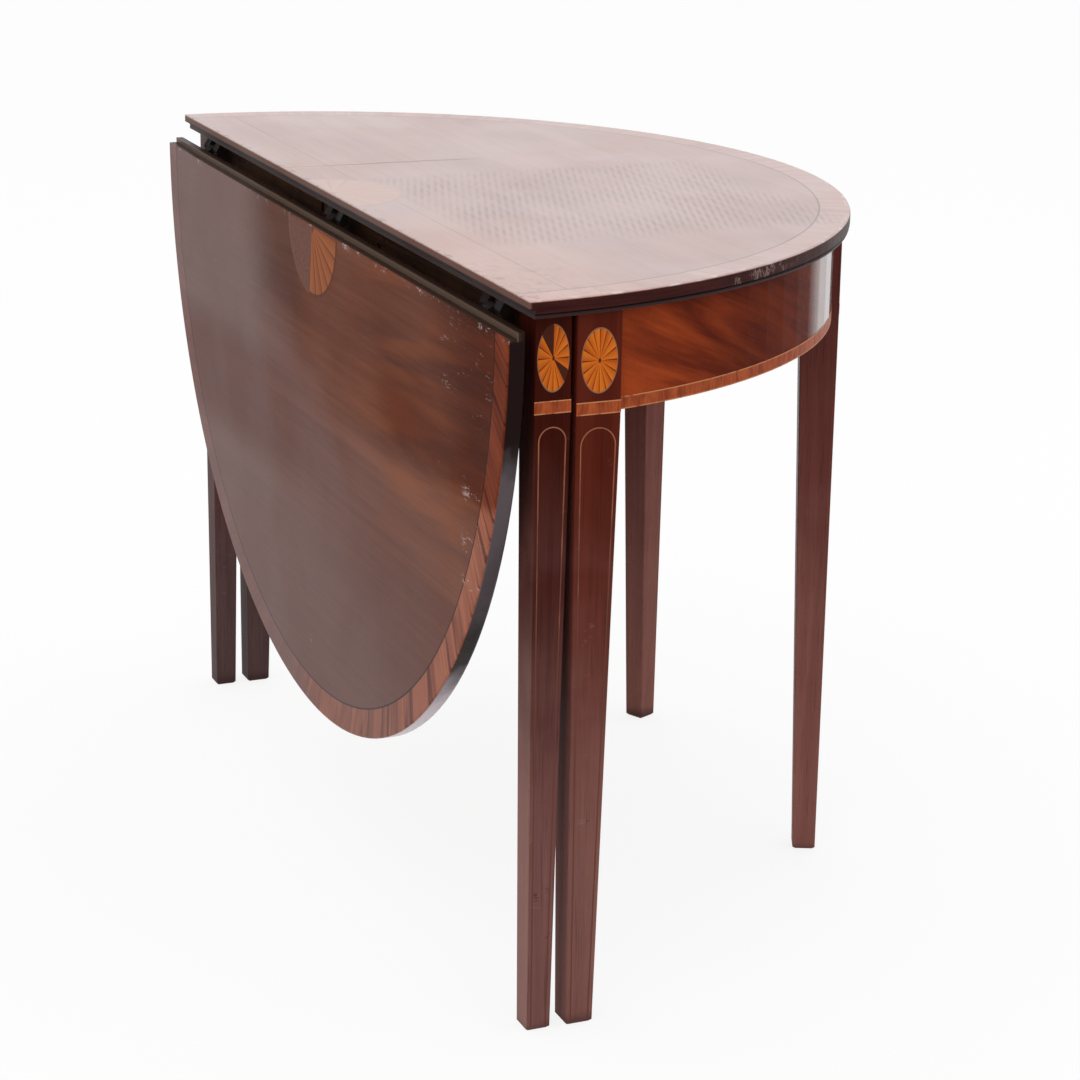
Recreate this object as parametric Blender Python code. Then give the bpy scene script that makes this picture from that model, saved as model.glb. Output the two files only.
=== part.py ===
"""Half-round gateleg tea table with one hanging leaf, two gates and three back-flap hinges.

The table stands closed: the leaf hangs and both gates lie flat against the frame. X runs along
the straight edge, +Y points to the curved front, and +Z is up. Sizes are in metres.
"""

import math

import bmesh
import bpy
from mathutils import Matrix, Vector

# Top and leaf, each cut a little short of a full half round
TOP_HEIGHT = 0.720
TOP_RADIUS = 0.545
TOP_THICKNESS = 0.017
BOARD_SHORT = 0.006
RIM_EASE = 0.0022
RIM_SEGMENTS = 80
BEAD_RADIUS = 0.0019
BEAD_SETBACK = 0.0006
QUIRK_WIDTH = 0.0010
QUIRK_DEPTH = 0.0021
LAP_LENGTH = 0.0055
LAP_LIP = 0.0085
LAP_CLEARANCE = 0.0006

# Gap kept between pieces that touch
SEAT = 0.0003

# Curved apron and straight back rail
APRON_OVERHANG = 0.015
APRON_THICKNESS = 0.022
APRON_HEIGHT = 0.096
APRON_SEGMENTS = 14
BACK_RAIL_THICKNESS = 0.024
BACK_RAIL_HEIGHT = 0.092

# End legs at the two ends of the straight side
END_LEG_WIDTH = 0.044
END_LEG_FOOT = 0.0275
END_LEG_PROUD = 0.0085
END_LEG_FACE_Y = 0.0595

# Legs on the curve, turned to face outward
CURVE_LEG_WIDTH = 0.040
CURVE_LEG_FOOT = 0.0245
CURVE_LEG_ANGLE = math.radians(65.5)
CURVE_LEG_PROUD = 0.008

# Gate legs
GATE_LEG_WIDTH = 0.036
GATE_LEG_FOOT = 0.0245
GATE_LEG_SETBACK = 0.002
GATE_LEG_GAP = 0.0045
GATE_LEG_DROP = 0.0008

# Leg shape
LEG_BLOCK_BELOW_APRON = 0.006
LEG_ARRIS = 0.0008
FOOT_EASE = 0.0022

# Gate rails and their wooden knuckles
GATE_RAIL_THICKNESS = 0.024
GATE_RAIL_HEIGHT = 0.086
GATE_RAIL_DROP = 0.005
GATE_RAIL_INSET = 0.0008
GATE_PIVOT_X = 0.090
KNUCKLE_FINGERS = 5
KNUCKLE_CLEARANCE = 0.0005
KNUCKLE_PAD_INSET = 0.004
GATE_PIN_RADIUS = 0.0030
GATE_PIN_TAIL = 0.003

# Back-flap hinges between top and leaf
HINGE_FROM_END = 0.100
HINGE_WIDTH = 0.050
HINGE_PLATE_LENGTH = 0.038
HINGE_PLATE_THICKNESS = 0.0024
HINGE_BARREL_RADIUS = 0.0045
HINGE_PIN_RADIUS = 0.0020
HINGE_PLATE_SETBACK = 0.0008
HINGE_AXIS_INSET = 0.006
HINGE_AXIS_DROP = 0.0095
HINGE_KNUCKLE_GAP = 0.0003
PIN_CLEARANCE = 0.00006
ROUND_SIDES = 24

# Heights and positions that follow from the sizes above
UNDERSIDE = TOP_HEIGHT - TOP_THICKNESS
FRAME_TOP = UNDERSIDE - SEAT
APRON_BOTTOM = FRAME_TOP - APRON_HEIGHT
TAPER_TOP = APRON_BOTTOM - LEG_BLOCK_BELOW_APRON
LEAF_AXIS_Y = BOARD_SHORT + HINGE_AXIS_INSET
LEAF_AXIS_Z = UNDERSIDE - HINGE_AXIS_DROP
LEAF_FACE_Y = LEAF_AXIS_Y - (TOP_HEIGHT - LEAF_AXIS_Z)
ORIGIN_Y = (TOP_RADIUS + LEAF_FACE_Y) / 2
HINGE_X = TOP_RADIUS - HINGE_FROM_END
APRON_RADIUS = TOP_RADIUS - APRON_OVERHANG
END_LEG_BACK_Y = END_LEG_FACE_Y + END_LEG_WIDTH
END_LEG_FACE_X = math.sqrt(APRON_RADIUS ** 2 - END_LEG_BACK_Y ** 2) + END_LEG_PROUD
GATE_LEG_FACE_X = END_LEG_FACE_X - GATE_LEG_SETBACK
GATE_LEG_BACK_Y = END_LEG_FACE_Y - GATE_LEG_GAP
GATE_LEG_FACE_Y = GATE_LEG_BACK_Y - GATE_LEG_WIDTH
GATE_RAIL_BACK_Y = GATE_LEG_BACK_Y - GATE_RAIL_INSET
GATE_RAIL_FACE_Y = GATE_RAIL_BACK_Y - GATE_RAIL_THICKNESS
GATE_AXIS_Y = (GATE_RAIL_FACE_Y + GATE_RAIL_BACK_Y) / 2
GATE_RAIL_TOP = UNDERSIDE - GATE_RAIL_DROP
GATE_RAIL_BOTTOM = GATE_RAIL_TOP - GATE_RAIL_HEIGHT
KNUCKLE_RADIUS = GATE_RAIL_THICKNESS / 2
SHOULDER = KNUCKLE_RADIUS + KNUCKLE_CLEARANCE


def clear_scene() -> None:
    """Removes every object that the open file holds."""
    for old in list(bpy.data.objects):
        bpy.data.objects.remove(old, do_unlink=True)


def make_material(name: str, colour: tuple, roughness: float, metallic: float = 0.0):
    """Makes a Principled material.

    Args:
        name: Name of the material.
        colour: Linear base colour, red, green and blue.
        roughness: Roughness from 0 to 1.
        metallic: Metallic value from 0 to 1.

    Returns:
        The material.
    """
    mat = bpy.data.materials.new(name)
    mat.use_nodes = True
    shader = mat.node_tree.nodes["Principled BSDF"]
    shader.inputs["Base Color"].default_value = (*colour, 1.0)
    shader.inputs["Roughness"].default_value = roughness
    shader.inputs["Metallic"].default_value = metallic
    mat.diffuse_color = (*colour, 1.0)
    return mat


def add_empty(name: str, place: tuple, parent=None):
    """Adds an empty that carries pieces about one axis.

    Args:
        name: Name of the empty.
        place: Position in the table's own frame.
        parent: Empty that carries this one.

    Returns:
        The empty.
    """
    empty = bpy.data.objects.new(name, None)
    empty.empty_display_size = 0.05
    empty.location = place
    empty.parent = parent
    bpy.context.scene.collection.objects.link(empty)
    return empty


def add_piece(name: str, bm, mat, axis, smooth: bool = False):
    """Turns a bmesh in the table's frame into a named object under its axis empty.

    Args:
        name: Name of the piece.
        bm: Mesh in the table's own frame.
        mat: Material of the piece.
        axis: Empty that carries the piece.
        smooth: Whether round faces are shaded smooth.

    Returns:
        The object.
    """
    own = axis.location if axis.parent else Vector((0.0, 0.0, 0.0))
    bm.transform(Matrix.Translation(-own))
    bmesh.ops.recalc_face_normals(bm, faces=bm.faces[:])
    mesh = bpy.data.meshes.new(name)
    bm.to_mesh(mesh)
    bm.free()
    mesh.materials.append(mat)
    piece = bpy.data.objects.new(name, mesh)
    piece.parent = axis
    bpy.context.scene.collection.objects.link(piece)
    if smooth:
        mesh.shade_smooth()
        mesh.set_sharp_from_angle(angle=math.radians(35))
    return piece


def loft(rings: list):
    """Bridges rings of equal count and caps both ends.

    Args:
        rings: Rings of points, each a list of (x, y, z).

    Returns:
        The closed bmesh.
    """
    bm = bmesh.new()
    rows = [[bm.verts.new(point) for point in ring] for ring in rings]
    for low, high in zip(rows, rows[1:]):
        for i in range(len(low)):
            j = (i + 1) % len(low)
            bm.faces.new((low[i], low[j], high[j], high[i]))
    bm.faces.new(rows[0][::-1])
    bm.faces.new(rows[-1])
    bmesh.ops.recalc_face_normals(bm, faces=bm.faces[:])
    return bm


def prism(outline: list, low: float, high: float):
    """Extrudes an outline in the XY plane between two heights."""
    return loft([[(x, y, z) for x, y in outline] for z in (low, high)])


def arc(centre: tuple, radius: float, start: float, end: float, steps: int) -> list:
    """Gives points along an arc.

    Args:
        centre: Centre of the arc.
        radius: Radius of the arc.
        start: First angle in radians.
        end: Last angle in radians.
        steps: Number of steps.

    Returns:
        The points, both ends included.
    """
    points = []
    for i in range(steps + 1):
        angle = start + (end - start) * i / steps
        points.append((centre[0] + radius * math.cos(angle), centre[1] + radius * math.sin(angle)))
    return points


def box(x0: float, x1: float, y0: float, y1: float, z0: float, z1: float):
    """Makes a box from its six sides."""
    return prism([(x0, y0), (x1, y0), (x1, y1), (x0, y1)], z0, z1)


def round_bar(centre: tuple, radius: float, low: float, high: float):
    """Makes an upright round bar."""
    return prism(arc(centre, radius, 0.0, math.tau * (1 - 1 / ROUND_SIDES), ROUND_SIDES - 1), low, high)


def along_x(bm) -> None:
    """Turns a shape drawn in XY with its depth on Z so that the depth lies on X."""
    bm.transform(Matrix(((0, 0, 1, 0), (1, 0, 0, 0), (0, 1, 0, 0), (0, 0, 0, 1))))


def combine(bm, tool, operation: str):
    """Joins or cuts one closed mesh with another.

    Args:
        bm: Mesh that is kept.
        tool: Mesh that is added or taken away.
        operation: UNION or DIFFERENCE.

    Returns:
        The resulting bmesh.
    """
    # Many-sided ends are split first, so that a round cutter bores cleanly at any size
    ends = [face for face in tool.faces if len(face.verts) > 4]
    if operation == "DIFFERENCE":
        bmesh.ops.triangulate(tool, faces=ends)
    pair = []
    for name, part in (("kept", bm), ("tool", tool)):
        bmesh.ops.recalc_face_normals(part, faces=part.faces[:])
        mesh = bpy.data.meshes.new(name)
        part.to_mesh(mesh)
        part.free()
        shape = bpy.data.objects.new(name, mesh)
        bpy.context.scene.collection.objects.link(shape)
        pair.append(shape)
    kept, cutter = pair
    change = kept.modifiers.new("combine", "BOOLEAN")
    change.operation = operation
    change.solver = "EXACT"
    change.object = cutter
    bpy.context.view_layer.update()
    result = bmesh.new()
    result.from_object(kept, bpy.context.evaluated_depsgraph_get())
    for shape in pair:
        mesh = shape.data
        bpy.data.objects.remove(shape, do_unlink=True)
        bpy.data.meshes.remove(mesh)
    return result


def eased_arris() -> list:
    """Gives an eased arris as (distance from the face, setback of the rim), from the face on."""
    return [(step * RIM_EASE, back * RIM_EASE) for step, back in ((0.0, 1.0), (0.3, 0.3), (1.0, 0.0))]


def beaded_arris() -> list:
    """Gives a bead and the quirk above it as (distance from the face, setback of the rim)."""
    bead = []
    for turn in (90, 45, 0, -45, -80):
        angle = math.radians(turn)
        back = BEAD_SETBACK + BEAD_RADIUS * (1 - math.cos(angle))
        bead.append((BEAD_RADIUS * (1 - math.sin(angle)), back))
    quirk = 2 * BEAD_RADIUS + QUIRK_WIDTH / 2
    return bead + [(quirk, QUIRK_DEPTH), (quirk + QUIRK_WIDTH / 2, 0.0)]


def half_disc(chord: float, lower_arris: list):
    """Makes a half-round board about the origin, its straight side at y = chord.

    Args:
        chord: Position of the straight side.
        lower_arris: Levels of the rim from the underside up, as (distance, setback).

    Returns:
        The closed bmesh, from the underside of the top to its upper face.
    """
    levels = [(UNDERSIDE + up, back) for up, back in lower_arris]
    levels += [(TOP_HEIGHT - down, back) for down, back in reversed(eased_arris())]
    rings = []
    for z, back in levels:
        radius = TOP_RADIUS - back
        start = math.asin(chord / radius)
        points = arc((0.0, 0.0), radius, start, math.pi - start, RIM_SEGMENTS)
        rings.append([(x, y, z) for x, y in points])
    return loft(rings)


def fixed_top():
    """Makes the fixed half of the top, with the lip that covers the leaf's tongue."""
    reach = TOP_RADIUS + TOP_THICKNESS
    lap = BOARD_SHORT + LAP_LENGTH
    rebate = box(-reach, reach, -reach, lap, UNDERSIDE - TOP_THICKNESS, TOP_HEIGHT - LAP_LIP)
    return combine(half_disc(BOARD_SHORT, beaded_arris()), rebate, "DIFFERENCE")


def hang(bm) -> None:
    """Swings a shape drawn with the leaf level down to where the leaf hangs."""
    axis = Matrix.Translation((0.0, LEAF_AXIS_Y, LEAF_AXIS_Z))
    bm.transform(axis @ Matrix.Rotation(math.radians(90), 4, "X") @ axis.inverted())


def drop_leaf():
    """Makes the hanging half of the top, with its tongue."""
    reach = TOP_RADIUS + TOP_THICKNESS
    tongue = LAP_LENGTH - LAP_CLEARANCE
    board = half_disc(BOARD_SHORT - tongue, eased_arris())
    board.transform(Matrix.Scale(-1.0, 4, (0.0, 1.0, 0.0)))
    board.transform(Matrix.Translation((0.0, 2 * BOARD_SHORT, 0.0)))
    shoulder = TOP_HEIGHT - LAP_LIP - LAP_CLEARANCE
    joint = BOARD_SHORT - LAP_CLEARANCE
    rebate = box(-reach, reach, joint, reach, shoulder, TOP_HEIGHT + TOP_THICKNESS)
    board = combine(board, rebate, "DIFFERENCE")
    hang(board)
    return board


def arrised(x0: float, x1: float, y0: float, y1: float, z: float) -> list:
    """Gives a rectangular section with its four corners taken off."""
    cut = LEG_ARRIS
    flat = [
        (x0 + cut, y0), (x1 - cut, y0), (x1, y0 + cut), (x1, y1 - cut),
        (x1 - cut, y1), (x0 + cut, y1), (x0, y1 - cut), (x0, y0 + cut),
    ]
    return [(x, y, z) for x, y in flat]


def leg(width: float, foot: float, top: float, centred: bool):
    """Makes a square leg, straight behind the apron and tapering to an eased foot.

    The outer face is at x = 0 and the leg runs to -X. A centred leg tapers alike on both sides;
    any other keeps its y = 0 face straight and runs to +Y.

    Args:
        width: Side of the upper block.
        foot: Side of the foot.
        top: Height of the leg.
        centred: Whether the sides taper alike.

    Returns:
        The closed bmesh.
    """
    slope = (width - foot) / TAPER_TOP
    rings = []
    for z, ease in ((0.0, FOOT_EASE), (FOOT_EASE, 0.0), (TAPER_TOP, 0.0), (top, 0.0)):
        side = min(width, foot + slope * z)
        near = -side / 2 if centred else 0.0
        rings.append(arrised(-side + ease, -ease, near + ease, near + side - ease, z))
    return loft(rings)


def end_leg(sign: int):
    """Makes one end leg; sign is 1 at the near end and -1 at the far end."""
    bm = leg(END_LEG_WIDTH, END_LEG_FOOT, FRAME_TOP, False)
    bm.transform(Matrix.Translation((END_LEG_FACE_X, END_LEG_FACE_Y, 0.0)))
    return mirrored(bm, sign)


def gate_leg(sign: int):
    """Makes one gate leg, which carries the leaf when its gate is open."""
    bm = leg(GATE_LEG_WIDTH, GATE_LEG_FOOT, UNDERSIDE - GATE_LEG_DROP, False)
    bm.transform(Matrix.Translation((GATE_LEG_FACE_X, GATE_LEG_FACE_Y, 0.0)))
    return mirrored(bm, sign)


def curve_leg(sign: int):
    """Makes one of the two legs on the curve, turned to face outward."""
    bm = leg(CURVE_LEG_WIDTH, CURVE_LEG_FOOT, FRAME_TOP, True)
    bm.transform(Matrix.Translation((APRON_RADIUS + CURVE_LEG_PROUD, 0.0, 0.0)))
    bm.transform(Matrix.Rotation(CURVE_LEG_ANGLE, 4, "Z"))
    return mirrored(bm, sign)


def mirrored(bm, sign: int):
    """Mirrors a shape to the far end when sign is -1."""
    if sign < 0:
        bm.transform(Matrix.Scale(-1.0, 4, (1.0, 0.0, 0.0)))
        bmesh.ops.reverse_faces(bm, faces=bm.faces[:])
    return bm


def leg_side_angle(radius: float, side: int) -> float:
    """Gives the angle where a circle meets the seat on one side of a curve leg.

    Args:
        radius: Radius of the circle.
        side: 1 beyond the leg, -1 before it.

    Returns:
        The angle from +X in radians.
    """
    return CURVE_LEG_ANGLE + side * math.asin((CURVE_LEG_WIDTH / 2 + SEAT) / radius)


def apron_segment(ends) -> object:
    """Makes a curved apron piece.

    Args:
        ends: Function from a radius to the first and last angle.

    Returns:
        The closed bmesh.
    """
    outer = arc((0.0, 0.0), APRON_RADIUS, *ends(APRON_RADIUS), APRON_SEGMENTS)
    inner_radius = APRON_RADIUS - APRON_THICKNESS
    inner = arc((0.0, 0.0), inner_radius, *ends(inner_radius), APRON_SEGMENTS)
    return prism(outer + inner[::-1], APRON_BOTTOM, FRAME_TOP)


def side_ends(radius: float) -> tuple:
    """Gives the angles between an end leg and the near curve leg."""
    return math.asin((END_LEG_BACK_Y + SEAT) / radius), leg_side_angle(radius, -1)


def front_ends(radius: float) -> tuple:
    """Gives the angles between the two curve legs."""
    first = leg_side_angle(radius, 1)
    return first, math.pi - first


def back_rail():
    """Makes the straight rail between the end legs."""
    reach = END_LEG_FACE_X - END_LEG_WIDTH - SEAT
    back = END_LEG_FACE_Y + BACK_RAIL_THICKNESS
    return box(-reach, reach, END_LEG_FACE_Y, back, FRAME_TOP - BACK_RAIL_HEIGHT, FRAME_TOP)


def finger_levels(first: int) -> list:
    """Gives the height ranges of every other knuckle finger, from the given one up."""
    step = GATE_RAIL_HEIGHT / KNUCKLE_FINGERS
    return [(GATE_RAIL_BOTTOM + i * step, GATE_RAIL_BOTTOM + (i + 1) * step)
            for i in range(first, KNUCKLE_FINGERS, 2)]


def cut_fingers(bm, pivot_x: float, toward: int, first: int):
    """Cuts the slots where the other piece's fingers turn, and the bore for the pin.

    Args:
        bm: Knuckle end with a full round end.
        pivot_x: Position of the pin along X.
        toward: Direction along X from the pin to the free end of the piece, 1 or -1.
        first: Lowest finger of the other piece.

    Returns:
        The cut bmesh.
    """
    ends = sorted((pivot_x + toward * 2 * KNUCKLE_RADIUS, pivot_x - toward * SHOULDER))
    front = GATE_RAIL_FACE_Y - KNUCKLE_RADIUS
    back = GATE_RAIL_BACK_Y + KNUCKLE_CLEARANCE
    for low, high in finger_levels(first):
        slot = box(*ends, front, back, low - SEAT / 2, high + SEAT / 2)
        bm = combine(bm, slot, "DIFFERENCE")
    bore = round_bar((pivot_x, GATE_AXIS_Y), GATE_PIN_RADIUS + PIN_CLEARANCE,
                     GATE_RAIL_BOTTOM - KNUCKLE_RADIUS, GATE_RAIL_TOP + KNUCKLE_RADIUS)
    return combine(bm, bore, "DIFFERENCE")


def knuckle_block():
    """Makes the block on the back rail that both gates turn on."""
    half = math.pi / 2
    pad = GATE_PIVOT_X - SHOULDER - KNUCKLE_PAD_INSET
    seat = END_LEG_FACE_Y - SEAT
    sides = ROUND_SIDES // 2
    outline = arc((GATE_PIVOT_X, GATE_AXIS_Y), KNUCKLE_RADIUS, -half, half, sides)
    outline += [(pad, GATE_RAIL_BACK_Y), (pad, seat), (-pad, seat), (-pad, GATE_RAIL_BACK_Y)]
    outline += arc((-GATE_PIVOT_X, GATE_AXIS_Y), KNUCKLE_RADIUS, half, 3 * half, sides)
    bm = prism(outline, GATE_RAIL_BOTTOM, GATE_RAIL_TOP)
    for sign in (1, -1):
        bm = cut_fingers(bm, sign * GATE_PIVOT_X, sign, 1)
    return bm


def gate_rail(sign: int):
    """Makes one gate rail, from its knuckle to its leg."""
    half = math.pi / 2
    end = GATE_LEG_FACE_X - GATE_LEG_WIDTH - SEAT
    outline = arc((GATE_PIVOT_X, GATE_AXIS_Y), KNUCKLE_RADIUS, half, 3 * half, ROUND_SIDES // 2)
    outline += [(end, GATE_RAIL_FACE_Y), (end, GATE_RAIL_BACK_Y)]
    bm = prism(outline, GATE_RAIL_BOTTOM, GATE_RAIL_TOP)
    bm = cut_fingers(bm, GATE_PIVOT_X, -1, 0)
    return mirrored(bm, sign)


def gate_pin(sign: int):
    """Makes the iron pin of one gate."""
    place = (sign * GATE_PIVOT_X, GATE_AXIS_Y)
    return round_bar(place, GATE_PIN_RADIUS, GATE_RAIL_BOTTOM - GATE_PIN_TAIL, GATE_RAIL_TOP)


def hinge_plate(x: float, knuckles: tuple):
    """Makes one hinge plate with its knuckles, drawn outward from the axis under a level board.

    Args:
        x: Position of the hinge along the straight edge.
        knuckles: Ranges of the knuckles along X, measured from the hinge's middle.

    Returns:
        The closed bmesh, with the axis at y = 0, z = 0 and the plate running to +Y.
    """
    seat = HINGE_AXIS_DROP - SEAT
    under = seat - HINGE_PLATE_THICKNESS
    start = HINGE_BARREL_RADIUS + HINGE_PLATE_SETBACK
    half = HINGE_WIDTH / 2
    bm = box(x - half, x + half, start, HINGE_PLATE_LENGTH, under, seat)
    round_part = arc((0.0, 0.0), HINGE_BARREL_RADIUS, math.radians(150), math.radians(380), ROUND_SIDES)
    lap = start + HINGE_PLATE_THICKNESS
    profile = [(lap, seat), (0.0, seat)] + round_part + [(start, under), (lap, under)]
    for low, high in knuckles:
        strap = prism(profile, x + low, x + high)
        along_x(strap)
        bm = combine(bm, strap, "UNION")
    bore = round_bar((0.0, 0.0), HINGE_PIN_RADIUS + PIN_CLEARANCE, x - HINGE_WIDTH, x + HINGE_WIDTH)
    along_x(bore)
    return combine(bm, bore, "DIFFERENCE")


def knuckle_ranges() -> tuple:
    """Gives the ranges of the two outer knuckles and of the middle one."""
    half = HINGE_WIDTH / 2
    third = HINGE_WIDTH / 6
    outer = ((-half, -third - HINGE_KNUCKLE_GAP), (third + HINGE_KNUCKLE_GAP, half))
    return outer, ((-third, third),)


def hinge_top_plate(x: float):
    """Makes the plate under the fixed top."""
    bm = hinge_plate(x, knuckle_ranges()[0])
    bm.transform(Matrix.Translation((0.0, LEAF_AXIS_Y, LEAF_AXIS_Z)))
    return bm


def hinge_leaf_plate(x: float):
    """Makes the plate on the leaf's under face, hanging with it."""
    bm = hinge_plate(x, knuckle_ranges()[1])
    bm.transform(Matrix.Scale(-1.0, 4, (0.0, 1.0, 0.0)))
    bmesh.ops.reverse_faces(bm, faces=bm.faces[:])
    bm.transform(Matrix.Translation((0.0, LEAF_AXIS_Y, LEAF_AXIS_Z)))
    hang(bm)
    return bm


def hinge_pin(x: float):
    """Makes the pin of one hinge."""
    bm = round_bar((0.0, 0.0), HINGE_PIN_RADIUS, x - HINGE_WIDTH / 2, x + HINGE_WIDTH / 2)
    along_x(bm)
    bm.transform(Matrix.Translation((0.0, LEAF_AXIS_Y, LEAF_AXIS_Z)))
    return bm


def build_table() -> None:
    """Builds every piece of the table."""
    clear_scene()
    top_wood = make_material("faded_mahogany", (0.36, 0.20, 0.15), 0.35)
    leaf_wood = make_material("leaf_mahogany", (0.10, 0.035, 0.018), 0.28)
    apron_wood = make_material("flame_mahogany", (0.15, 0.045, 0.020), 0.25)
    leg_wood = make_material("leg_mahogany", (0.085, 0.022, 0.012), 0.32)
    inner_wood = make_material("oak_rail", (0.20, 0.12, 0.07), 0.60)
    iron = make_material("old_iron", (0.05, 0.045, 0.04), 0.50, 0.90)

    table = add_empty("table", (0.0, -ORIGIN_Y, 0.0))
    leaf_axis = add_empty("leaf_axis", (0.0, LEAF_AXIS_Y, LEAF_AXIS_Z), table)
    ends = (("near", 1), ("far", -1))

    add_piece("fixed_top", fixed_top(), top_wood, table, smooth=True)
    add_piece("apron_near", apron_segment(side_ends), apron_wood, table, smooth=True)
    add_piece("apron_front", apron_segment(front_ends), apron_wood, table, smooth=True)
    add_piece("apron_far", mirrored(apron_segment(side_ends), -1), apron_wood, table, smooth=True)
    add_piece("back_rail", back_rail(), inner_wood, table)
    add_piece("knuckle_block", knuckle_block(), inner_wood, table, smooth=True)
    for end, sign in ends:
        add_piece(f"end_leg_{end}", end_leg(sign), leg_wood, table)
        add_piece(f"curve_leg_{end}", curve_leg(sign), leg_wood, table)
        add_piece(f"gate_pin_{end}", gate_pin(sign), iron, table, smooth=True)
        gate_axis = add_empty(f"gate_axis_{end}", (sign * GATE_PIVOT_X, GATE_AXIS_Y, 0.0), table)
        add_piece(f"gate_rail_{end}", gate_rail(sign), inner_wood, gate_axis, smooth=True)
        add_piece(f"gate_leg_{end}", gate_leg(sign), leg_wood, gate_axis)
    add_piece("drop_leaf", drop_leaf(), leaf_wood, leaf_axis, smooth=True)
    for place, x in (("near", HINGE_X), ("middle", 0.0), ("far", -HINGE_X)):
        add_piece(f"hinge_top_plate_{place}", hinge_top_plate(x), iron, table, smooth=True)
        add_piece(f"hinge_leaf_plate_{place}", hinge_leaf_plate(x), iron, leaf_axis, smooth=True)
        add_piece(f"hinge_pin_{place}", hinge_pin(x), iron, table, smooth=True)


build_table()
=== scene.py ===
"""Looks of a gateleg tea table: faded top, leaf with painted grey reflection and painted shade, figured
apron, inlaid legs and iron hinges.
"""

from __future__ import annotations

import logging
import math
from dataclasses import dataclass
from enum import Enum
from functools import partial, reduce
from typing import Callable, Iterable, NamedTuple, Sequence, Union

import bmesh
import bpy
from mathutils import Matrix, Vector


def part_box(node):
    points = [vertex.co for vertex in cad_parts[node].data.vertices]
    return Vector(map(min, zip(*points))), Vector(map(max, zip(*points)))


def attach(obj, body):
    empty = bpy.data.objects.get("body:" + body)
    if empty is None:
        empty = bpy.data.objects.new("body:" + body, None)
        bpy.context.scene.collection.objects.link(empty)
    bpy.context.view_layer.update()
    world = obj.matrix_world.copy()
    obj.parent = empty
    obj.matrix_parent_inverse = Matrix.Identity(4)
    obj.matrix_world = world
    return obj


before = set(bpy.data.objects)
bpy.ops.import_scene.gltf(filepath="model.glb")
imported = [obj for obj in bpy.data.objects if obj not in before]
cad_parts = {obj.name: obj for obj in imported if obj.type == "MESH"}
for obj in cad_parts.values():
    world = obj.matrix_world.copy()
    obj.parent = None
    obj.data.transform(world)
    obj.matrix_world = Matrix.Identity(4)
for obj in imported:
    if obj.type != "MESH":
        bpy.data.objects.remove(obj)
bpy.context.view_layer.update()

LOG = logging.getLogger("tea_table")

Socket = bpy.types.NodeSocket
Mesh = bmesh.types.BMesh
Feed = Union[float, Sequence[float], Socket]
Colour = tuple[float, float, float, float]
Display = tuple[int, int, int]
# Where a mask starts and where it is full
Span = tuple[float, float]
# The two limits of a mask and the softness outside them
SoftSpan = tuple[float, float, float]
# A colour, followed by the masks that it shows through
Coat = tuple[Feed, ...]

EAST = Vector((1.0, 0.0, 0.0))
NORTH = Vector((0.0, 1.0, 0.0))
UP = Vector((0.0, 0.0, 1.0))
WHITE: Colour = (1.0, 1.0, 1.0, 1.0)
SHARP_ANGLE = math.radians(35.0)
FACE_DEPTH = 0.0004
MERGE_DISTANCE = 0.00001


class Body(Enum):
    """The four bodies of the table that a piece can move with."""

    FRAME = "frame"
    LEAF = "leaf"
    GATE_NEAR = "gate_near"
    GATE_FAR = "gate_far"


class Slot(Enum):
    """Finish names for the pieces of inlay."""

    TOP = "faded_mahogany"
    LEAF = "leaf_mahogany"
    APRON = "flame_mahogany"
    LEG = "leg_mahogany"


class Tones(NamedTuple):
    """The dark and the light colour of one material."""

    dark: Colour
    light: Colour


def shade(red: int, green: int, blue: int) -> Colour:
    """Turn a colour in display values into linear light.

    Args:
        red: Display value, 0 to 255.
        green: Display value, 0 to 255.
        blue: Display value, 0 to 255.

    Returns:
        The colour in linear light, with full alpha.
    """
    def linear(value: int) -> float:
        """Undo the display curve of one channel."""
        part = value / 255.0
        return part / 12.92 if part <= 0.04045 else ((part + 0.055) / 1.055) ** 2.4

    return linear(red), linear(green), linear(blue), 1.0


def tones(dark: Display, light: Display) -> Tones:
    """Pair two colours that are given in display values."""
    return Tones(shade(*dark), shade(*light))


def node_points(name: str) -> list[Vector]:
    """Give the corner points of a CAD node at rest."""
    return [vertex.co.copy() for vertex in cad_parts[name].data.vertices]


@dataclass(frozen=True)
class TableSizes:
    """Sizes and places of the table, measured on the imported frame, in metres."""

    radius: float
    centre_y: float
    straight_y: float
    top_z: float
    under_z: float
    leaf_radius: float
    leaf_face_y: float
    leaf_inner_y: float
    leaf_centre_z: float
    leaf_edge_z: float
    apron_radius: float
    apron_low: float
    apron_high: float

    @classmethod
    def measured(cls) -> TableSizes:
        """Read the sizes from the boxes of the top, the leaf and the front apron.

        Returns:
            The measured sizes.
        """
        top_low, top_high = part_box("fixed_top")
        leaf_low, leaf_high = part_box("drop_leaf")
        apron_low, apron_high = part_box("apron_front")
        outer_face = [p.z for p in node_points("drop_leaf") if p.y < leaf_low.y + FACE_DEPTH]
        return cls(
            radius=top_high.x,
            centre_y=top_high.y - top_high.x,
            straight_y=top_low.y,
            top_z=top_high.z,
            under_z=top_low.z,
            leaf_radius=leaf_high.x,
            leaf_face_y=leaf_low.y,
            leaf_inner_y=leaf_high.y,
            leaf_centre_z=leaf_low.z + leaf_high.x,
            leaf_edge_z=max(outer_face),
            apron_radius=apron_high.y - top_high.y + top_high.x,
            apron_low=apron_low.z,
            apron_high=apron_high.z,
        )


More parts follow.
